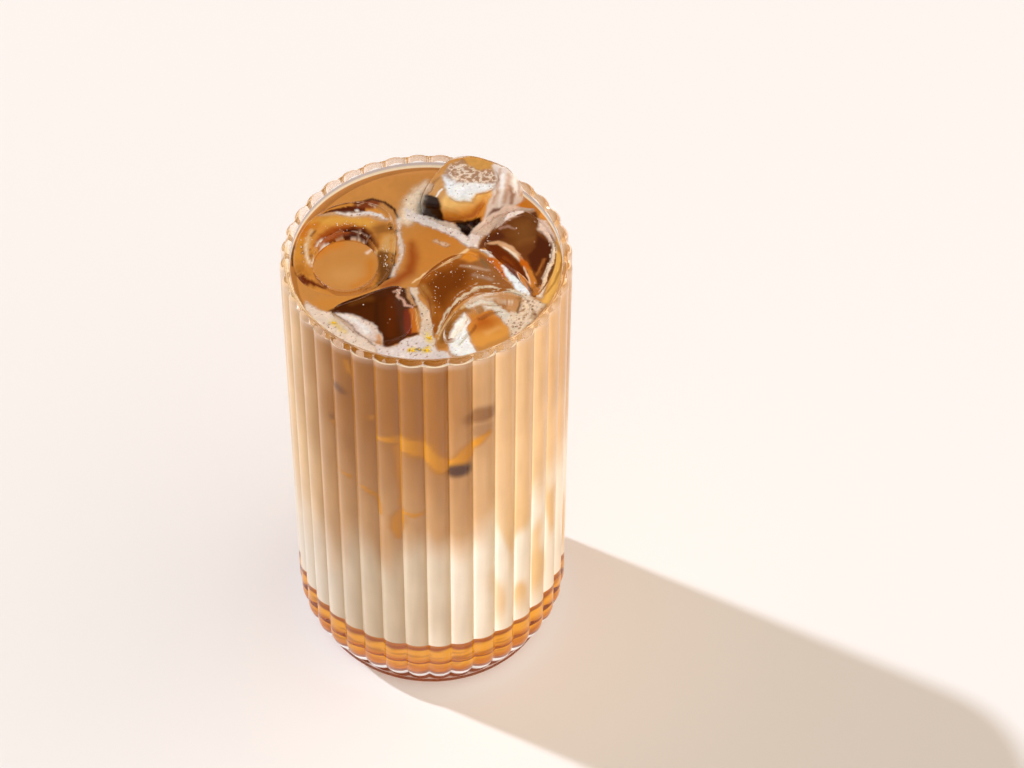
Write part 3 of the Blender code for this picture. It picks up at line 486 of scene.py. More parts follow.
def paint_froth(shades, places):
    """Lays the froth over the shades, and returns how thick it is at each place."""
    thick = np.zeros(len(places))
    holes = np.array([froth_hole(x, y) for x, y in places[:, :2]])
    ragged = places.copy()
    for axis in (0, 1):
        ragged[:, axis] += MM * (0.55 * wobble(places * (1, 1, 0), 2.4 * MM, 41.0 + axis)
                                 + 0.3 * wobble(places * (1, 1, 0), 0.9 * MM, 43.0 + axis))
    flat = places * (1, 1, 0)
    tone = (1.0 + 0.12 * wobble(flat, 2.0 * MM, 45.0) + 0.1 * wobble(flat, 0.7 * MM, 46.0))[:, None]
    for colour, strength, softness, open_share, shape in FROTH:
        cover = strength * cover_of(ragged, softness, shape)
        body = np.array(linear(colour)) * tone
        hole = smoothstep(0.14 + 0.5 * open_share, 0.04 + 0.5 * open_share, holes)
        hole = (0.85 * hole * (open_share > 0))[:, None]
        body += (np.array(linear(FROTH_HOLE)) - body) * hole
        shades += (body - shades) * cover[:, None]
        thick = np.maximum(thick, cover)
    return thick


# Meshes
def add_mesh(name, vertices, faces, smooth=True):
    mesh = bpy.data.meshes.new(name)
    mesh.from_pydata([tuple(v) for v in vertices], [], faces)
    mesh.validate()
    item = bpy.data.objects.new(name, mesh)
    bpy.context.scene.collection.objects.link(item)
    if smooth:
        mesh.shade_smooth()
    return item


def loft(rings, first_end=None, last_end=None):
    """Vertices and faces through rings of equal length, closed by a fan where an end point is given."""
    count = len(rings[0])
    vertices = [point for ring in rings for point in ring]
    faces = []
    for k in range(len(rings) - 1):
        low = k * count
        high = low + count
        for i in range(count):
            j = (i + 1) % count
            faces.append((low + i, low + j, high + j, high + i))
    if first_end is not None:
        tip = len(vertices)
        vertices.append(first_end)
        faces += [(tip, (i + 1) % count, i) for i in range(count)]
    if last_end is not None:
        tip = len(vertices)
        vertices.append(last_end)
        base = (len(rings) - 1) * count
        faces += [(tip, base + i, base + (i + 1) % count) for i in range(count)]
    return vertices, faces


def face_outwards(item):
    shape = bmesh.new()
    shape.from_mesh(item.data)
    bmesh.ops.recalc_face_normals(shape, faces=shape.faces)
    shape.to_mesh(item.data)
    shape.free()
    return item


def arc(centre_r, centre_z, radius, start_deg, end_deg, count):
    points = []
    for i in range(count + 1):
        angle = math.radians(start_deg + (end_deg - start_deg) * i / count)
        points.append((centre_r + radius * math.cos(angle), centre_z + radius * math.sin(angle)))
    return points


def positions(item):
    count = len(item.data.vertices)
    flat = np.empty(count * 3, np.float32)
    item.data.vertices.foreach_get("co", flat)
    return flat.reshape(count, 3).astype(float)


def paint(item, colours):
    """Stores one linear colour for each vertex."""
    layer = item.data.color_attributes.new("shade", "FLOAT_COLOR", "POINT")
    full = np.ones((len(colours), 4), np.float32)
    full[:, :3] = colours
    layer.data.foreach_set("color", full.ravel())


def wobble(points, scale, seed):
    """Smooth noise between about -1 and 1 at each point, for a scale in metres."""
    shift = Vector((seed * 7.3, seed * 3.1, seed * 5.7))
    return np.array([noise.noise(Vector(p) / scale + shift) for p in points])


# Materials
def new_material(name):
    material = bpy.data.materials.new(name)
    material.use_nodes = True
    return material, material.node_tree, material.node_tree.nodes["Principled BSDF"]


def noise_node(tree, scale, detail, roughness=0.5, stretch=(1, 1, 1)):
    place = tree.nodes.new("ShaderNodeTexCoord")
    mapping = tree.nodes.new("ShaderNodeMapping")
    mapping.inputs["Scale"].default_value = stretch
    texture = tree.nodes.new("ShaderNodeTexNoise")
    texture.inputs["Scale"].default_value = scale
    texture.inputs["Detail"].default_value = detail
    texture.inputs["Roughness"].default_value = roughness
    tree.links.new(place.outputs["Object"], mapping.inputs["Vector"])
    tree.links.new(mapping.outputs["Vector"], texture.inputs["Vector"])
    return texture


def add_bump(tree, shader, height_socket, strength, distance):
    bump = tree.nodes.new("ShaderNodeBump")
    bump.inputs["Strength"].default_value = strength
    bump.inputs["Distance"].default_value = distance
    tree.links.new(height_socket, bump.inputs["Height"])
    tree.links.new(bump.outputs["Normal"], shader.inputs["Normal"])
    return bump


def clear_material(name, colour, ior, roughness, bump_scale=None, bump_distance=0.0):
    material, tree, shader = new_material(name)
    shader.inputs["Base Color"].default_value = (*colour, 1.0)
    shader.inputs["Roughness"].default_value = roughness
    shader.inputs["IOR"].default_value = ior
    shader.inputs["Transmission Weight"].default_value = 1.0
    if bump_scale:
        texture = noise_node(tree, bump_scale, 3.0)
        add_bump(tree, shader, texture.outputs["Fac"], 1.0, bump_distance)
    return material


def flute_light(tree):
    """Light that the flutes gather behind the wall: bright along each one's left side, dim on its right."""
    place = tree.nodes.new("ShaderNodeTexCoord")
    split = tree.nodes.new("ShaderNodeSeparateXYZ")
    tree.links.new(place.outputs["Object"], split.inputs["Vector"])
    value = split.outputs["Y"]
    steps = (("ARCTAN2", None), ("ADD", math.pi / 2.0 + math.tau), ("MULTIPLY", FLUTES / math.tau),
             ("FRACT", None))
    for operation, number in steps:
        step = tree.nodes.new("ShaderNodeMath")
        step.operation = operation
        tree.links.new(value, step.inputs[0])
        if operation == "ARCTAN2":
            tree.links.new(split.outputs["X"], step.inputs[1])
        elif number is not None:
            step.inputs[1].default_value = number
        value = step.outputs["Value"]
    ramp = tree.nodes.new("ShaderNodeValToRGB")
    tones = ramp.color_ramp
    tones.elements[0].position = FLUTE_TONES[0][0]
    tones.elements[0].color = (*FLUTE_TONES[0][1], 1.0)
    tones.elements[1].position = FLUTE_TONES[-1][0]
    tones.elements[1].color = (*FLUTE_TONES[-1][1], 1.0)
    for position, tone in FLUTE_TONES[1:-1]:
        tones.elements.new(position).color = (*tone, 1.0)
    tree.links.new(value, ramp.inputs["Fac"])
    return ramp.outputs["Color"]


def painted_material(name, roughness, mottle, mottle_scale, bump_scale, bump_distance, subsurface=0.0,
                     fluted=False, gloss=0.5, glow=0.0):
    """The painted colours of the vertices, mottled by fine noise, with a soft bump; a glow makes them shine
    as painted light.
    """
    material, tree, shader = new_material(name)
    shade = tree.nodes.new("ShaderNodeVertexColor")
    shade.layer_name = "shade"
    texture = noise_node(tree, mottle_scale, 5.0, 0.6)
    curve = tree.nodes.new("ShaderNodeMapRange")
    curve.inputs["From Min"].default_value = 0.3
    curve.inputs["From Max"].default_value = 0.7
    curve.inputs["To Min"].default_value = 1.0 - mottle
    curve.inputs["To Max"].default_value = 1.0 + mottle
    tree.links.new(texture.outputs["Fac"], curve.inputs["Value"])
    product = tree.nodes.new("ShaderNodeVectorMath")
    product.operation = "SCALE"
    tree.links.new(shade.outputs["Color"], product.inputs[0])
    tree.links.new(curve.outputs["Result"], product.inputs["Scale"])
    colour = product.outputs["Vector"]
    if fluted:
        lit = tree.nodes.new("ShaderNodeVectorMath")
        lit.operation = "MULTIPLY"
        tree.links.new(colour, lit.inputs[0])
        tree.links.new(flute_light(tree), lit.inputs[1])
        colour = lit.outputs["Vector"]
    shader.inputs["Roughness"].default_value = roughness
    shader.inputs["Specular IOR Level"].default_value = gloss
    # painted light: with a glow, the colour also shines as emission, and the base colour is dimmed to match
    if glow:
        tree.links.new(colour, shader.inputs["Emission Color"])
        shader.inputs["Emission Strength"].default_value = glow
        dimmed = tree.nodes.new("ShaderNodeVectorMath")
        dimmed.operation = "SCALE"
        dimmed.inputs["Scale"].default_value = 1.0 - glow
        tree.links.new(colour, dimmed.inputs[0])
        colour = dimmed.outputs["Vector"]
    tree.links.new(colour, shader.inputs["Base Color"])
    if subsurface:
        shader.inputs["Subsurface Weight"].default_value = subsurface
        shader.inputs["Subsurface Scale"].default_value = 0.002
        shader.inputs["Subsurface Radius"].default_value = (1.0, 0.55, 0.3)
    bumps = noise_node(tree, bump_scale, 3.0)
    add_bump(tree, shader, bumps.outputs["Fac"], 1.0, bump_distance)
    return material


def dress(item, material, body, slot, *nodes):
    item.data.materials.clear()
    item.data.materials.append(material)
    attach(item, body)
    if nodes:
        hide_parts(*nodes)
    return item


def lets_lamps_through(item):
    """Clear pieces cast no shadow, as lamps don't reach through bent glass in a short render."""
    item.visible_shadow = False
    item.visible_diffuse = False


# Glass
def flute_cut(from_groove):
    """Depth of the wall under the flutes' crests, for a distance round the wall from a groove."""
    half = GLASS_RADIUS * math.sin(math.pi / FLUTES)
    eased = half * math.sqrt((from_groove**2 + GROOVE_ROUNDING**2) / (half**2 + GROOVE_ROUNDING**2))
    across = half - eased
    scale = FLUTE_DEPTH / (FLUTE_ARC_RADIUS - math.sqrt(FLUTE_ARC_RADIUS**2 - half**2))
    return (FLUTE_ARC_RADIUS - math.sqrt(FLUTE_ARC_RADIUS**2 - across**2)) * scale


def glass_profile():
    """(radius, height, share of the flute's depth) up the outside and down the inside."""
    lip_base = GLASS_HEIGHT - LIP_RADIUS
    corner_centre = GLASS_RADIUS - OUTER_CORNER
    foot_join = math.degrees(math.asin((FOOT_HEIGHT + FOOT_NECK - OUTER_CORNER) / OUTER_CORNER))
    path = [(FOOT_RADIUS - 12 * FOOT_EDGE, 0.0, 0.0)]
    path += [(r, z, 0.0) for r, z in arc(FOOT_RADIUS - FOOT_EDGE, FOOT_EDGE, FOOT_EDGE, -90.0, 0.0, 4)]
    path += [(r, z, 0.0) for r, z in arc(FOOT_RADIUS - FOOT_EDGE, FOOT_HEIGHT - FOOT_EDGE, FOOT_EDGE,
                                         0.0, 70.0, 4)]
    for radius, height in arc(corner_centre, OUTER_CORNER, OUTER_CORNER, foot_join, 0.0, 14):
        path.append((radius, height, 0.8 + 0.2 * min(1.0, height / OUTER_CORNER)))
    for height in np.linspace(OUTER_CORNER + 12 * MM, lip_base - FLUTE_FADE, 6):
        path.append((GLASS_RADIUS, float(height), 1.0))
    lip_centre = GLASS_RADIUS - LIP_RADIUS
    path += [(r, z, 0.95) for r, z in arc(lip_centre, lip_base, LIP_RADIUS, 0.0, 84.0, 9)]
    path += [(r, z, 0.0) for r, z in arc(INNER_RADIUS + LIP_RADIUS, lip_base, LIP_RADIUS, 90.0, 180.0, 7)]
    path += [(INNER_RADIUS, LEVEL - 4 * MM, 0.0)]
    path += [(r, z, 0.0) for r, z in arc(INNER_RADIUS - INNER_CORNER, INNER_FLOOR + INNER_CORNER,
                                         INNER_CORNER, 0.0, -90.0, 12)]
    return path


def flute_steps():
    """Angles round one flute, close together at the groove."""
    half = [0.0, 0.018, 0.045, 0.085, 0.15, 0.24, 0.36, 0.5]
    return half + [1.0 - share for share in half[-2:0:-1]]


def make_glass():
    pitch = math.tau / FLUTES
    angles = []
    for k in range(FLUTES):
        angles += [(math.radians(-90.0) + (k + share) * pitch, share) for share in flute_steps()]
    rings = []
    for radius, height, depth_share in glass_profile():
        ring = []
        for angle, share in angles:
            from_groove = GLASS_RADIUS * math.sin(pitch * min(share, 1.0 - share))
            reach = radius - depth_share * flute_cut(from_groove)
            if depth_share and height > GLASS_HEIGHT - LIP_RADIUS - 0.01 * MM:
                reach = max(reach, GLASS_RADIUS - LIP_RADIUS)
            ring.append((reach * math.cos(angle), reach * math.sin(angle), height))
        rings.append(ring)
    item = add_mesh("fluted_glass", *loft(rings, (0, 0, 0), (0, 0, INNER_FLOOR)))
    face_outwards(item)
    material = clear_material("polished_glass", (1.0, 0.985, 0.97), 1.5, 0.0)
    material.node_tree.nodes["Principled BSDF"].inputs["Specular IOR Level"].default_value = 0.16
    dress(item, material, "root", "clear_glass", "glass")
    lets_lamps_through(item)
    return item


# Ice
def smooth_outline(points, count, outset):
    """A closed curve through the points, moved outwards by the outset."""
    knots = [Vector((x * MM, y * MM)) for x, y in points]
    total = len(knots)
    curve = []
    for i in range(count):
        place = i * total / count
        k = int(place)
        t = place - k
        before, here, there, after = (knots[(k + step) % total] for step in (-1, 0, 1, 2))
        curve.append(0.5 * (2.0 * here + (there - before) * t
                            + (2.0 * before - 5.0 * here + 4.0 * there - after) * t**2
                            + (3.0 * here - before - 3.0 * there + after) * t**3))
    moved = []
    for i in range(count):
        along = (curve[(i + 1) % count] - curve[i - 1]).normalized()
        moved.append(curve[i] + Vector((along.y, -along.x)) * outset)
    return moved


def face_height(block, x, y):
    centre_x, centre_y = block["centre"]
    blend = 0.16 * MM
    total = 0.0
    for height, rise_x, rise_y in block["faces"]:
        face = height * MM + rise_x * (x - centre_x * MM) + rise_y * (y - centre_y * MM)
        total += math.exp(-face / blend)
    return -blend * math.log(total)


def edge_fall(share):
    """How far the rounded edge of a block falls, as a share of ICE_EDGE."""
    return max(0.0, (share - 0.92) / 0.08) ** 2.4


def ice_top(block, x, y, share):
    unevenness = 0.15 * MM * noise.noise(Vector((x, y, 0.0)) / (6.0 * MM))
    height = LEVEL + face_height(block, x, y) - ICE_EDGE * edge_fall(share) + unevenness
    return min(height, CAD_BOX[1].z - 0.06 * MM)


def ice_ring(block, outline, share, height_of):
    centre = Vector(block["centre"]) * MM
    ring = []
    for point in outline:
        place = centre + (point - centre) * share
        ring.append((place.x, place.y, height_of(place.x, place.y)))
    return ring


ICE_COLUMNS = 220
TOP_SHARES = ([1.0, 0.993, 0.985, 0.975, 0.965, 0.95, 0.93, 0.905, 0.88]
              + [0.88 - 0.04 * k for k in range(1, 22)])
SIDE_SHARES = ([(0.05 * k, 0.0) for k in range(1, 15)]
               + [(0.74, 0.03), (0.78, 0.07), (0.82, 0.12), (0.86, 0.18), (0.9, 0.25), (0.93, 0.33),
                  (0.96, 0.43), (0.98, 0.53), (0.99, 0.63), (1.0, 0.74), (1.0, 0.81), (1.0, 0.87),
                  (1.0, 0.93), (1.0, 0.98)])


def ice_block(name, shrink=0.0, depth=None, columns=ICE_COLUMNS, top_shares=TOP_SHARES):
    """A block of ice, or the place that it takes in the latte where it is shrunk by the overlap."""
    block = ICE_BLOCKS[name]
    outline = smooth_outline(block["outline"], columns, -shrink)
    depth = block["depth"] * MM if depth is None else depth
    low = LEVEL - depth + shrink
    rise = depth * 0.85
    rings = [ice_ring(block, outline, share, lambda x, y, z=low + lift * rise: z)
             for share, lift in SIDE_SHARES]
    for share in top_shares:
        rings.append(ice_ring(block, outline, share,
                              lambda x, y, s=share: ice_top(block, x, y, s) - shrink))
    x, y = (value * MM for value in block["centre"])
    return loft(rings, (x, y, low), (x, y, ice_top(block, x, y, 0.0) - shrink))


def hollow_ring(height, inset):
    share = min(1.0, max(0.0, 1.0 + (height - LEVEL) / HOLLOW_DEPTH))
    widen = math.sin(share * math.pi / 2.0)
    reach = [(floor + (mouth - floor) * widen) * MM - inset
             for floor, mouth in zip(HOLLOW_FLOOR, HOLLOW_MOUTH)]
    ring = []
    for k in range(ICE_COLUMNS):
        angle = math.tau * k / ICE_COLUMNS
        ring.append((HOLLOW_CENTRE[0] * MM + reach[0] * math.cos(angle),
                     HOLLOW_CENTRE[1] * MM + reach[1] * math.sin(angle), height))
    return ring


def hollow_solid(top, inset):
    low = LEVEL - HOLLOW_DEPTH + inset
    heights = list(np.linspace(low, LEVEL, 24)[:-1]) + [top]
    x, y = (value * MM for value in HOLLOW_CENTRE)
    rings = [hollow_ring(float(height), inset) for height in heights]
    edge = rings[-1]
    for share in np.arange(0.97, 0.02, -0.045):
        rings.append([(x + (px - x) * share, y + (py - y) * share, top) for px, py, _ in edge])
    return loft(rings, (x, y, low), (x, y, top))


def arch_line(steps):
    """Points along the arch."""
    knots = [Vector((x * MM, y * MM)) for x, y in ARCH_POINTS]
    knots = [2 * knots[0] - knots[1]] + knots + [2 * knots[-1] - knots[-2]]
    line = []
    for k in range(1, len(knots) - 2):
        before, here, there, after = knots[k - 1:k + 3]
        for i in range(steps):
            t = i / steps
            line.append(0.5 * (2.0 * here + (there - before) * t
                               + (2.0 * before - 5.0 * here + 4.0 * there - after) * t**2
                               + (3.0 * here - before - 3.0 * there + after) * t**3))
    line.append(knots[-2])
    return line


def arch_solid(shrink=0.0):
    line = arch_line(10)
    bottom = LEVEL - POCKETS["ice_arch"][0] * MM
    middle = (ARCH_TOP + bottom) / 2.0
    half_height = (ARCH_TOP - bottom) / 2.0 - shrink
    half_width = ARCH_WIDTH / 2.0 - shrink
    rings = []
    total = len(line) - 1
    for i, point in enumerate(line):
        along = (line[min(i + 1, total)] - line[max(i - 1, 0)]).normalized()
        across = Vector((along.y, -along.x))
        taper = min(1.0, math.sqrt(max(0.04, 1.0 - abs(2.0 * i / total - 1.0) ** 8)))
        ring = []
        for k in range(32):
            angle = math.tau * k / 32
            bulge = 1.0 + 0.07 * noise.noise(Vector((point.x, point.y, k * MM)) / (3.0 * MM))
            side = math.copysign(abs(math.cos(angle)) ** 0.8, math.cos(angle)) * half_width * taper * bulge
            lift = math.copysign(abs(math.sin(angle)) ** 0.9, math.sin(angle)) * half_height
            lift *= 0.6 + 0.4 * taper
            ring.append((point.x + across.x * side, point.y + across.y * side, middle + lift))
        rings.append(ring)
    ends = [Vector([sum(axis) / 32 for axis in zip(*ring)]) for ring in (rings[0], rings[-1])]
    return loft(rings, *ends)


def cut_out(item, cutter):
    """Takes the cutter's shape out of the item, and removes the cutter."""
    step = item.modifiers.new("cut", "BOOLEAN")
    step.operation = "DIFFERENCE"
    step.object = cutter
    depsgraph = bpy.context.evaluated_depsgraph_get()
    mesh = bpy.data.meshes.new_from_object(item.evaluated_get(depsgraph))
    item.modifiers.clear()
    old = item.data
    item.data = mesh
    bpy.data.meshes.remove(old)
    bpy.data.objects.remove(cutter, do_unlink=True)
    return item


def make_ice():
    pieces = []
    material = clear_material("wet_ice", (0.995, 0.98, 0.96), ICE_BEND, 0.01, 190.0, 0.00012)
    for name in ICE_BLOCKS:
        depth = POCKETS[name][0] * MM + ICE_OVERLAP
        item = face_outwards(add_mesh(name + "_clear", *ice_block(name, 0.0, depth)))
        if name == "ice_hollow":
            hollow = face_outwards(add_mesh("hollow", *hollow_solid(LEVEL + 8 * MM, 0.0)))
            cut_out(item, hollow)
            item.data.shade_smooth()
        dress(item, material, "root", "ice", name)
        lets_lamps_through(item)
        pieces.append(item)
    arch = face_outwards(add_mesh("ice_arch_clear", *arch_solid()))
    dress(arch, material, "root", "ice", "ice_arch")
    lets_lamps_through(arch)
    return pieces + [arch]


# Drink
def layer_border(turn, points):
    """Share of latte against milk on the side: cloudy, streaked downwards, with a drip of coffee in front."""
    slow = wobble(points * (1.0, 1.0, 0.0), 16.0 * MM, 11.0)
    quick = wobble(points * (1.0, 1.0, 0.4), 6.0 * MM, 12.0)
    streaks = wobble(points * (1.0, 1.0, 0.16), 2.2 * MM, 13.0)
    drip = np.exp(-((turn + 18.0) / 8.0) ** 2) + 0.4 * np.exp(-((turn - 14.0) / 6.0) ** 2)
    aside = smoothstep(18.0, 55.0, np.abs(turn))
    left = smoothstep(-22.0, -46.0, turn)
    border = 67.0 + 6.0 * aside - 21.0 * left - 13.0 * drip + 4.0 * slow + 2.5 * quick
    border += (3.0 + 5.0 * left) * streaks
    softness = 9.0 + 3.0 * slow + 4.0 * aside + 9.0 * left
    height = points[:, 2] / MM
    share = np.clip((height - border + softness) / (2.0 * softness), 0.0, 1.0)
    return share * share * (3.0 - 2.0 * share)


def side_colours(points):
    """Brown in front, paler towards the milk and, as painted light and reflection, towards the sides; the
    milk is painted lighter on the right with golden patches of painted light; streaks of caramel and sunk
    ice.
    """
    brown = np.array(linear(LATTE_BROWN))
    pale = np.array(linear(LATTE_MILKY_AND_LIT))
    angles = np.arctan2(points[:, 1], points[:, 0])
    turn = np.degrees((angles + math.pi / 2.0 + math.pi) % math.tau - math.pi)
    clouds = wobble(points * (1.0, 1.0, 0.55), 9.0 * MM, 1.0)
    # painted light: the milk is painted lighter towards the right and, less, at the far left, and stays
    # shaded between
    right = (smoothstep(-8.0, 22.0, turn + 10.0 * clouds) + 0.6 * smoothstep(-30.0, -60.0, turn))[:, None]
    milk = np.array(linear(MILK_SHADED)) + (np.array(linear(MILK_LIT)) - np.array(linear(MILK_SHADED))) * right
    milk_golden_light = np.array(linear(MILK_GOLDEN_LIGHT))
    # painted light and reflection: the latte is painted paler towards the sides than in front; the share
    # paler lower down follows the milk
    edge = np.abs(turn + 12.0) * np.where(turn > -12.0, 1.25, 1.0) + 12.0 * clouds
    milky_and_lit_share = 0.85 * smoothstep(22.0, 66.0, edge) * (1.0 - 0.45 * smoothstep(80.0, 130.0, edge))
    rise = smoothstep(68 * MM, 116 * MM, points[:, 2] + 7.0 * MM * clouds)
    milky_and_lit_share = np.clip(milky_and_lit_share + 0.42 * (1.0 - rise), 0.0, 1.0)[:, None]
    latte = brown + (pale - brown) * milky_and_lit_share
    # painted light: golden patches of warm light on the milk's right side, above its lowest part
    golden = wobble(points * (1.0, 1.0, 0.25), 5.0 * MM, 2.0)
    golden_light = smoothstep(18.0, 40.0, turn) * smoothstep(-0.1, 0.35, golden)
    golden_light = (golden_light * smoothstep(20 * MM, 34 * MM, points[:, 2]))[:, None]
    white = milk + (milk_golden_light - milk) * golden_light
    share = layer_border(turn, points)[:, None]
    shades = white + (latte - white) * share
    shades *= (1.0 + 0.1 * wobble(points * (1.0, 1.0, 0.1), 1.3 * MM, 14.0))[:, None]

    unrolled = np.stack([turn * math.radians(DRINK_RADIUS), points[:, 2], points[:, 2]], axis=1)
    unrolled[:, :2] += 0.35 * MM * np.stack([wobble(points, 3.0 * MM, 21.0),
                                             wobble(points, 3.0 * MM, 22.0)], axis=1)

    def rolled_out(stroke):
        return [(x * math.radians(DRINK_RADIUS) / MM, z, wide) for x, z, wide in stroke]

    unrolled[:, 1] += 2.6 * MM
    for streak in CARAMEL_STREAKS:
        wide = [(x, z, half * 1.5) for x, z, half in rolled_out(streak)]
        paint_shapes(shades, unrolled, [(CARAMEL_GLOW, 0.7, 0.8, wide),
                                        (CARAMEL_STREAK, 1.0, 0.4, rolled_out(streak))])
    for colour, strength, patch in SUNK_ICE_PATCHES:
        paint_shapes(shades, unrolled, [(colour, strength, 1.2, rolled_out(patch))])
    cream = np.array(linear(RIM_CREAM))
    behind = smoothstep(-10 * MM, 12 * MM, points[:, 1])
    rim_start = LEVEL - (2.4 + 7.0 * behind) * MM
    rim = smoothstep(0.0, 1.0, (points[:, 2] - rim_start) / (2.4 * MM + 3.6 * MM * behind))
    rim = ((0.4 + 0.4 * behind) * rim)[:, None]
    return shades + (cream - shades) * rim


def plan_places(points):
    """Where in the plan each point is drawn: further back the higher it is."""
    moved = points.copy()
    moved[:, 1] += SEEN_FROM_ABOVE * (points[:, 2] - LEVEL)
    return moved


def look_through(clear_items, solid_items):
    """Pairs of a point behind the ice and the place in the plan where the ice's bend lets it be seen."""
    clear = surface_tree(clear_items)
    solid = surface_tree(solid_items)
    eye = Vector(CAMERA_PLACE)
    through_top = []
    through_side = []
    for i in range(-126, 127):
        for k in range(-126, 160):
            place = Vector((i * LOOK_STEP, k * LOOK_STEP, LEVEL))
            look = (place - eye).normalized()
            spot, normal, _, _ = clear.ray_cast(eye, look)
            if spot is None:
                continue
            across = -look.dot(normal)
            if across < 0.0:
                continue
            ratio = 1.0 / ICE_BEND
            bent = look * ratio + normal * (ratio * across - math.sqrt(1.0 - ratio**2 * (1.0 - across**2)))
            behind = solid.ray_cast(spot + bent * 0.01 * MM, bent)[0]
            if behind:
                (through_top if normal.z > 0.6 else through_side).append((behind, place))
    return through_top, through_side


def seen_places(points, pair_lists, behind_ice):
    """The plan's place for each point, found from the pairs where it lies behind ice."""
    places = plan_places(points)
    open_points = np.nonzero(behind_ice)[0]
    for pairs in pair_lists:
        tree = KDTree(len(pairs))
        for k, (behind, _) in enumerate(pairs):
            tree.insert(behind, k)
        tree.balance()
        missed = []
        for i in open_points:
            near = [hit for hit in tree.find_n(Vector(points[i]), 3) if hit[2] < LOOK_REACH]
            if not near:
                missed.append(i)
                continue
            first = pairs[near[0][1]][1]
            near = [hit for hit in near if (pairs[hit[1]][1] - first).length < SAME_PLACE]
            weights = [1.0 / (hit[2] + 0.02 * MM) for hit in near]
            total = sum(weights)
            for axis in (0, 1):
                places[i, axis] = sum(w * pairs[hit[1]][1][axis] for w, hit in zip(weights, near)) / total
        open_points = missed
    return places


FILM_COLUMNS = 300


def film_solid():
    """The tall block, drawn in a little, with rings all the way up its sides."""
    block = ICE_BLOCKS["ice_tall"]
    outline = smooth_outline(block["outline"], FILM_COLUMNS, -FILM_GAP)
    low = LEVEL - 3.0 * MM

    def height_at(x, y, share):
        return ice_top(block, x, y, share) - FILM_GAP

    rings = []
    for k in range(30):
        rings.append([(p.x, p.y, low + (height_at(p.x, p.y, 1.0) - low) * k / 30.0) for p in outline])
    for k in range(54):
        share = 1.0 - 0.018 * k
        rings.append(ice_ring(block, outline, share, lambda x, y, s=share: height_at(x, y, s)))
    x, y = (value * MM for value in block["centre"])
    return loft(rings, (x, y, low), (x, y, height_at(x, y, 0.0)))


def make_film():
    film = face_outwards(add_mesh("latte_film", *film_solid()))
    points = positions(film)
    pairs = look_through([bpy.data.objects["ice_tall_clear"]], [film])
    places = seen_places(points, pairs, np.ones(len(points), bool))
    shades = np.tile(np.array(linear((206, 140, 66))), (len(points), 1))
    paint_shapes(shades, frayed(places), PICTURE)
    paint_froth(shades, places)
    shades *= (1.0 + 0.08 * wobble(points, 1.2 * MM, 33.0))[:, None]
    paint(film, shades)
    # painted light: the film glows a little with its own colour, and it carries the tall block's painted
    # shade and highlight
    material = painted_material("painted_film", 0.5, 0.05, 400.0, 300.0, 0.00003, gloss=0.0, glow=0.15)
    dress(film, material, "root", "latte")


def make_wall_film(material):
    """What the drink leaves on the wall above its level at the back, pale along its upper edge."""
    low = LEVEL - 0.5 * MM
    radius = INNER_RADIUS - 0.06 * MM
    rows = 12
    columns = 180
    rings = []
    for height in np.linspace(low, GLASS_HEIGHT - 1.0 * MM, rows):
        ring = []
        for k in range(columns):
            angle = math.tau * k / columns
            lift = 0.62 + 0.38 * float(smoothstep(-0.75, 0.1, math.sin(angle)))
            ring.append((radius * math.cos(angle), radius * math.sin(angle), low + (height - low) * lift))
        rings.append(ring)
    film = add_mesh("wall_film", *loft(rings))
    rise = np.repeat(np.arange(rows) / (rows - 1.0), columns)
    shades = np.tile(np.array(linear((232, 172, 102))), (len(rise), 1))
    for colour, share in (((255, 236, 200), smoothstep(0.1, 0.3, rise)),
                          ((206, 192, 186), smoothstep(0.4, 0.75, rise))):
        shades += (np.array(linear(colour)) - shades) * share[:, None]
    paint(film, shades)
    # painted light: the wall film glows with the pocket material
    dress(film, material, "root", "latte")


def frayed(places):
    moved = places.copy()
    for axis in (0, 1):
        moved[:, axis] += 0.3 * MM * wobble(places * (1, 1, 0), 1.6 * MM, 31.0 + axis)
    return moved


def nearest_block(points):
    """The name of the block of ice that each point belongs to."""
    names = list(ICE_BLOCKS)
    x = points[:, 0] / MM
    y = points[:, 1] / MM
    reaches = [area_reach(x, y, ICE_BLOCKS[name]["outline"]) for name in names]
    arch = line_reach(x, y, [(px, py, ARCH_WIDTH / MM / 2.0) for px, py in ARCH_POINTS])
    owner = np.array(names)[np.argmax(np.array(reaches), axis=0)]
    return np.where(arch > -0.3, "ice_arch", owner)


def latte_colours(points, pairs):
    """The side, the top, and the pockets round the ice."""
    shades = side_colours(points)
    radius = np.hypot(points[:, 0], points[:, 1])
    inside = radius < INNER_RADIUS - 0.25 * MM
    below = LEVEL - points[:, 2] > 0.08 * MM

    inner = np.tile(np.array(linear(LATTE_TOP)), (len(points), 1))
    owner = nearest_block(points)
    # painted shade: the pocket walls under each block take their colour from POCKETS, darker than the open
    # latte for most blocks
    for name, (_, colour) in POCKETS.items():
        mine = (below & (owner == name))[:, None]
        inner = np.where(mine, np.array(linear(colour)), inner)
    inner *= (1.0 + 0.06 * wobble(points, 7.0 * MM, 3.0) + 0.06 * wobble(points, 1.4 * MM, 6.0))[:, None]
    chosen = np.nonzero(inside)[0]
    places = seen_places(points[chosen], pairs, below[chosen])
    drawn = inner[chosen]
    paint_shapes(drawn, frayed(places), PICTURE)
    paint_froth(drawn, places)
    inner[chosen] = drawn
    return np.where(inside[:, None], inner, shades)


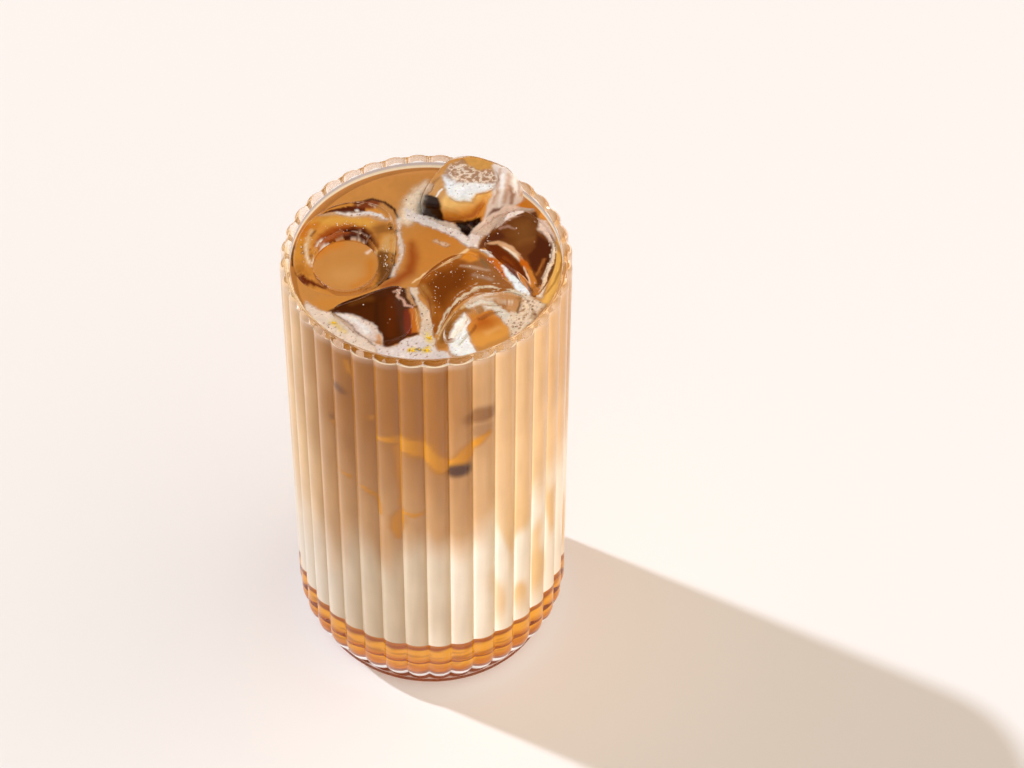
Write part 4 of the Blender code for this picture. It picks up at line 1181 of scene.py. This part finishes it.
def drink_layer(name, low, high, rows, rounded_corner=False, top_step=2.0):
    """A turned layer of the drink, dense at its side so that it can carry painted clouds."""
    angles = [math.tau * i / DRINK_COLUMNS for i in range(DRINK_COLUMNS)]
    rings = [[(r * math.cos(a), r * math.sin(a), low) for a in angles]
             for r in (12 * MM, 24 * MM)]
    if rounded_corner:
        corner = INNER_CORNER
        floor = INNER_FLOOR - WALL_OVERLAP
        path = arc(DRINK_RADIUS - corner, floor + corner, corner, -90.0, 0.0, 16)
        rings = [[(r * math.cos(a), r * math.sin(a), floor) for a in angles] for r in (12 * MM,)]
    else:
        path = [(DRINK_RADIUS, low)]
    start = path[-1][1]
    path += [(DRINK_RADIUS, start + (high - start) * i / rows) for i in range(1, rows + 1)]
    for radius, height in path:
        rings.append([(radius * math.cos(a), radius * math.sin(a), height) for a in angles])
    for radius in np.arange(35.1, 1.0, -top_step):
        rings.append([(radius * MM * math.cos(a), radius * MM * math.sin(a), high) for a in angles])
    layer = face_outwards(add_mesh(name, *loft(rings, (0, 0, rings[0][0][2]), (0, 0, high))))
    layer.data.set_sharp_from_angle(angle=math.radians(50))
    return layer


def syrup_colours(points):
    """Golden, with an orange-brown line on top and brown streaks, mostly lower down."""
    golden = np.array(linear((244, 166, 40)))
    brown = np.array(linear((168, 78, 8)))
    orange = np.array(linear((206, 106, 18)))
    height = points[:, 2] / MM
    streak = wobble(points * (0.6, 0.6, 2.2), 3.2 * MM, 8.0)
    wide = wobble(points * (1.0, 1.0, 0.5), 5.0 * MM, 9.0)
    fine = wobble(points * (1.0, 1.0, 0.6), 1.6 * MM, 10.0)
    lifted = height + 0.9 * streak + 0.6 * wide
    low = (0.85 * smoothstep(14.6, 10.6, lifted + 1.6 * wide + 1.2 * fine))[:, None]
    line = (smoothstep(18.4, 19.3, lifted) * (1.0 - 0.35 * smoothstep(19.8, 20.8, lifted)))[:, None]
    patch = (0.55 * smoothstep(0.0, 0.5, streak + 0.4 * wide + 0.3 * fine))[:, None]
    shades = golden + (orange - golden) * low
    shades = shades + (brown - shades) * patch
    return shades + (brown - shades) * line


# Painted light in the glass's thick base, as glowing rings: the syrup seen through the base, a painted
# reflection in mauve and white, and amber light gathered in the foot; each as (name, distance under the
# outside in mm, first and last angle of the corner, colour or the syrup's own)
BASE_RINGS = [
    ("base_syrup", 1.5, -18.0, 1.0, None),
    ("base_blush_reflection", 1.45, -26.0, -18.0, (168, 98, 72)),
    ("base_shine", 1.4, -48.0, -25.0, (255, 250, 248)),
    ("base_amber_light", 1.6, -90.0, -54.0, (146, 66, 20)),
]


def make_drink(ice):
    syrup = drink_layer("syrup_fill", INNER_FLOOR, SYRUP_TOP, 8, True)
    paint(syrup, syrup_colours(positions(syrup)))
    # painted light: the syrup glows with its own colour, as light through it
    dress(syrup, painted_material("painted_caramel", 0.5, 0.05, 300.0, 200.0, 0.00002, gloss=0.0, glow=0.4),
          "root", "caramel", "caramel_syrup")

    gleam = painted_material("base_gleam", 0.5, 0.04, 300.0, 200.0, 0.00002, gloss=0.0, glow=0.7)
    for name, inset, start, end, colour in BASE_RINGS:
        path = arc(GLASS_RADIUS - OUTER_CORNER, OUTER_CORNER, OUTER_CORNER - inset * MM, start, end, 14)
        rings = [[(r * math.cos(math.tau * k / 360), r * math.sin(math.tau * k / 360), z) for k in range(360)]
                 for r, z in path]
        ring = add_mesh(name, *loft(rings))
        points = positions(ring)
        shades = syrup_colours(points)
        if colour:
            shades = np.array(linear(colour)) * (1.0 + 0.25 * wobble(points, 3.0 * MM, 51.0))[:, None]
        paint(ring, shades)
        dress(ring, gleam, "root", "caramel")

    milk = drink_layer("milk_fill", SYRUP_TOP, MILK_TOP, 56)
    paint(milk, side_colours(positions(milk)))
    milk_material = painted_material("painted_milk", 0.5, 0.02, 220.0, 200.0, 0.00002, fluted=True, gloss=0.0)
    dress(milk, milk_material, "root", "milk", "milk")

    latte = drink_layer("latte_fill", MILK_TOP, LEVEL, 72, top_step=0.4)
    for name in ICE_BLOCKS:
        depth = POCKETS[name][0] * MM
        cut_out(latte, face_outwards(add_mesh("pocket", *ice_block(name, ICE_OVERLAP, depth))))
    cut_out(latte, face_outwards(add_mesh("pocket", *arch_solid(ICE_OVERLAP))))
    latte.data.shade_smooth()
    latte.data.set_sharp_from_angle(angle=math.radians(50))
    pool = face_outwards(add_mesh("pool_fill", *hollow_solid(POOL_LEVEL, -ICE_OVERLAP)))
    pool.data.set_sharp_from_angle(angle=math.radians(50))
    pairs = look_through(ice, [latte, pool])
    paint(latte, latte_colours(positions(latte), pairs))
    latte_material = painted_material("painted_latte", 0.22, 0.03, 220.0, 160.0, 0.00003)
    dress(latte, latte_material, "root", "latte", "latte")
    side_material = painted_material("latte_behind_wall", 0.5, 0.03, 220.0, 160.0, 0.00003, fluted=True,
                                     gloss=0.0)
    # painted light: the pocket walls, the wall film and the pool's sides glow with their own colour
    pocket_material = painted_material("latte_round_ice", 0.5, 0.04, 400.0, 200.0, 0.00003, gloss=0.0,
                                       glow=0.6)
    latte.data.materials.append(side_material)
    latte.data.materials.append(pocket_material)
    for face in latte.data.polygons:
        if math.hypot(face.center.x, face.center.y) > INNER_RADIUS - 0.3 * MM and abs(face.normal.z) < 0.5:
            face.material_index = 1
        elif face.center.z < LEVEL - 0.02 * MM:
            face.material_index = 2

    make_film()
    make_wall_film(pocket_material)

    points = positions(pool)
    deep = POOL_LEVEL - points[:, 2] > 0.08 * MM
    places = seen_places(points, pairs, deep)
    shades = np.tile(np.array(linear(LATTE_TOP)), (len(points), 1))
    paint_shapes(shades, frayed(places), PICTURE)
    paint_froth(shades, places)
    paint(pool, shades)
    dress(pool, latte_material, "root", "latte", "latte_pool")
    pool.data.materials.append(pocket_material)
    for face in pool.data.polygons:
        if face.center.z < POOL_LEVEL - 0.05 * MM:
            face.material_index = 1


# Froth, frost and bubbles
FROTH_STEP = 0.26 * MM
FROTH_RISE = 0.5 * MM


def surface_tree(items):
    """The ice's surfaces, to lay things on."""
    vertices = []
    faces = []
    for item in items:
        base = len(vertices)
        vertices += [v.co.copy() for v in item.data.vertices]
        faces += [tuple(base + k for k in face.vertices) for face in item.data.polygons]
    return BVHTree.FromPolygons(vertices, faces)


def ice_height(tree, x, y):
    hit = tree.ray_cast(Vector((x, y, LEVEL + 30 * MM)), Vector((0, 0, -1)))
    return hit[0].z if hit[0] else 0.0


def cell_bumps(x, y, size, seed):
    """Domes side by side, as bubbles in froth: 1 in the middle of each, 0 where two meet."""
    near = noise.voronoi(Vector((x / size, y / size, seed)), distance_metric="DISTANCE", exponent=2.0)[0]
    return max(0.0, min(1.0, (near[1] - near[0]) * 1.8))


def froth_hole(x, y):
    """0 in the middle of a bubble's dark hole and 1 between them, at two sizes of bubble."""
    reach = [noise.voronoi(Vector((x / (size * MM), y / (size * MM), seed)), distance_metric="DISTANCE",
                           exponent=2.0)[0][0] for size, seed in ((1.1, 2.0), (0.6, 7.0))]
    return min(reach[0], reach[1] + 0.12)


def froth_sheets(ice):
    """Thin relief of froth over the drink and over the ice, where it shows from the front and above."""
    tree = surface_tree(ice)
    eye = Vector(CAMERA_PLACE)
    columns = np.arange(-36.0, 36.0, FROTH_STEP / MM) * MM
    rows = np.arange(-36.0, 42.0, FROTH_STEP / MM) * MM
    grid = np.array([(x, y, LEVEL) for y in rows for x in columns])
    shades = np.tile(np.array(linear(LATTE_TOP)), (len(grid), 1))
    paint_shapes(shades, frayed(grid), PICTURE)
    thick = paint_froth(shades, grid)
    made = {False: ([], [], {}), True: ([], [], {})}
    for i in np.nonzero(thick > 0.12)[0]:
        x, y, _ = grid[i]
        place = Vector(grid[i])
        look = (place - eye).normalized()
        spot, normal, _, _ = tree.ray_cast(eye, look)
        on_ice = spot is not None and spot.z > LEVEL + 0.1 * MM
        if not on_ice:
            if math.hypot(x, y) > INNER_RADIUS - 0.1 * MM:
                continue
            spot = place
            normal = Vector((0.0, 0.0, 1.0))
        elif normal.z < 0.2:
            continue
        bump = 0.5 * cell_bumps(x, y, 1.1 * MM, 1.0) + 0.5 * cell_bumps(x, y, 0.6 * MM, 4.0)
        rise = (0.3 if on_ice else 0.8) * FROTH_RISE * thick[i] * (0.5 + 0.5 * bump)
        vertices, colours, kept = made[on_ice]
        kept[int(i)] = len(vertices)
        point = spot + normal * rise
        vertices.append((point.x, point.y, min(point.z, CAD_BOX[1].z - 0.02 * MM)))
        # painted shade: the froth's colour is darker where bubbles meet and lighter on their domes
        colours.append(shades[i] * (0.86 + 0.2 * bump))
    width = len(columns)
    sheets = []
    for on_ice, (vertices, colours, kept) in made.items():
        faces = []
        for i in kept:
            corners = (i, i + 1, i + width + 1, i + width)
            if not all(k in kept for k in corners):
                continue
            lifts = [vertices[kept[k]][2] for k in corners]
            if max(lifts) - min(lifts) < 1.2 * MM:
                faces.append(tuple(kept[k] for k in corners))
        item = add_mesh("froth_on_ice" if on_ice else "froth_sheet", vertices, faces)
        paint(item, np.array(colours))
        sheets.append(item)
    return sheets


def ball_mesh(name, balls, detail=1):
    """Small balls, each (place, radius), joined in one mesh."""
    shape = bmesh.new()
    for place, radius in balls:
        bmesh.ops.create_icosphere(shape, subdivisions=detail, radius=radius,
                                   matrix=Matrix.Translation(place))
    mesh = bpy.data.meshes.new(name)
    shape.to_mesh(mesh)
    shape.free()
    item = bpy.data.objects.new(name, mesh)
    bpy.context.scene.collection.objects.link(item)
    mesh.shade_smooth()
    return item


def make_froth(ice):
    draw = random.Random(SEED)
    tree = surface_tree(ice)
    material = painted_material("painted_froth", 0.35, 0.03, 900.0, 1500.0, 0.00008, 0.25)
    sheet, frost = froth_sheets(ice)
    dress(sheet, material, "root", "froth", "froth")
    dress(frost, material, "root", "froth")

    pale = []
    dark = []
    for vertex in sheet.data.vertices:
        if vertex.co.z < LEVEL + 0.12 * MM or draw.random() > 0.016:
            continue
        radius = draw.uniform(0.09, 0.24) * MM
        (dark if draw.random() < 0.25 else pale).append((vertex.co.copy(), radius))
    in_ice = []
    for x, y, wide, deep, count in ICE_BUBBLES:
        for _ in range(count):
            px, py = draw.gauss(x, wide * 0.55) * MM, draw.gauss(y, deep * 0.55) * MM
            height = ice_height(tree, px, py)
            if height > LEVEL + 0.3 * MM:
                radius = 0.06 * MM + 0.15 * MM * draw.random() ** 2
                in_ice.append(((px, py, height - draw.uniform(0.1, 0.7) * MM), radius))
    golden = []
    for x, y, wide, count in GOLDEN_BUBBLES:
        for _ in range(count):
            px, py = draw.gauss(x, wide * 0.6) * MM, draw.gauss(y, wide * 0.4) * MM
            if math.hypot(px, py) < INNER_RADIUS - 0.6 * MM:
                spot = (px, py, max(LEVEL, ice_height(tree, px, py)) + FROTH_RISE * 0.7)
                golden.append((spot, draw.uniform(0.1, 0.28) * MM))
    gold = ball_mesh("golden_bubbles", golden, 2)
    paint(gold, np.tile(np.array(linear((252, 206, 40))), (len(gold.data.vertices), 1)))
    dress(gold, painted_material("golden_froth", 0.08, 0.1, 900.0, 1500.0, 0.00001), "root", "froth")
    specks = ball_mesh("ice_bubbles", in_ice)
    paint(specks, np.tile(np.array(linear((246, 232, 212))), (len(specks.data.vertices), 1)))
    dress(specks, painted_material("bubbles_in_ice", 0.1, 0.02, 900.0, 1500.0, 0.00001), "root", "ice")
    bubbles = ball_mesh("froth_bubbles", pale)
    paint(bubbles, np.tile(np.array(linear((244, 232, 216))), (len(bubbles.data.vertices), 1)))
    dress(bubbles, painted_material("pale_bubbles", 0.12, 0.02, 900.0, 1500.0, 0.00001), "root", "froth")
    holes = ball_mesh("froth_holes", dark)
    paint(holes, np.tile(np.array(linear((120, 72, 40))), (len(holes.data.vertices), 1)))
    dress(holes, painted_material("dark_bubbles", 0.1, 0.05, 900.0, 1500.0, 0.00001), "root", "froth")


# Camera, lights and floor


def make_camera():
    data = bpy.data.cameras.new("camera")
    data.lens = CAMERA_LENS
    data.sensor_width = 36.0
    camera = bpy.data.objects.new("camera", data)
    bpy.context.scene.collection.objects.link(camera)
    tilt = Euler((math.pi / 2.0 - CAMERA_ELEVATION, 0.0, 0.0)).to_matrix().to_4x4()
    camera.matrix_world = Matrix.Translation(CAMERA_PLACE) @ tilt @ Matrix.Rotation(CAMERA_ROLL, 4, "Z")
    bpy.context.scene.camera = camera


def make_lights():
    data = bpy.data.lights.new("sun", "SUN")
    data.energy = 2.3
    data.angle = math.radians(2.2)
    data.color = (0.735, 0.83, 1.0)
    sun = bpy.data.objects.new("sun", data)
    bpy.context.scene.collection.objects.link(sun)
    sun.rotation_euler = (-TO_SUN).to_track_quat("-Z", "Y").to_euler()

    world = bpy.data.worlds.new("studio")
    bpy.context.scene.world = world
    world.use_nodes = True
    tree = world.node_tree
    background = tree.nodes["Background"]
    background.inputs["Color"].default_value = (0.935, 0.847, 0.765, 1.0)
    place = tree.nodes.new("ShaderNodeTexCoord")
    towards = tree.nodes.new("ShaderNodeVectorMath")
    towards.operation = "DOT_PRODUCT"
    towards.inputs[1].default_value = (0.93, 0.36, 0.0)
    strength = tree.nodes.new("ShaderNodeMapRange")
    strength.inputs["From Min"].default_value = -1.0
    strength.inputs["To Min"].default_value = 0.15
    strength.inputs["To Max"].default_value = 2.05
    tree.links.new(place.outputs["Generated"], towards.inputs[0])
    tree.links.new(towards.outputs["Value"], strength.inputs["Value"])
    overhead = tree.nodes.new("ShaderNodeVectorMath")
    overhead.operation = "DOT_PRODUCT"
    overhead.inputs[1].default_value = (-0.1, 0.62, 0.78)
    ceiling = tree.nodes.new("ShaderNodeMapRange")
    ceiling.interpolation_type = "SMOOTHSTEP"
    ceiling.inputs["From Min"].default_value = 0.62
    ceiling.inputs["From Max"].default_value = 0.9
    ceiling.inputs["To Min"].default_value = 1.0
    ceiling.inputs["To Max"].default_value = 0.12
    tree.links.new(place.outputs["Generated"], overhead.inputs[0])
    tree.links.new(overhead.outputs["Value"], ceiling.inputs["Value"])
    product = tree.nodes.new("ShaderNodeMath")
    product.operation = "MULTIPLY"
    tree.links.new(strength.outputs["Result"], product.inputs[0])
    tree.links.new(ceiling.outputs["Result"], product.inputs[1])
    tree.links.new(product.outputs["Value"], background.inputs["Strength"])


def make_floor():
    shape = bmesh.new()
    bmesh.ops.create_grid(shape, x_segments=1, y_segments=1, size=3.0)
    mesh = bpy.data.meshes.new("floor")
    shape.to_mesh(mesh)
    shape.free()
    floor = bpy.data.objects.new("floor", mesh)
    bpy.context.scene.collection.objects.link(floor)
    material, tree, shader = new_material("pale_floor")
    shader.inputs["Base Color"].default_value = (*linear((247, 240, 232)), 1.0)
    shader.inputs["Roughness"].default_value = 0.9
    shader.inputs["Specular IOR Level"].default_value = 0.1
    mesh.materials.append(material)
    floor.location.z = -0.0002


bpy.context.scene.view_settings.view_transform = "Standard"
make_camera()
make_lights()
make_floor()
make_glass()
ice_pieces = make_ice()
make_drink(ice_pieces)
make_froth(ice_pieces)
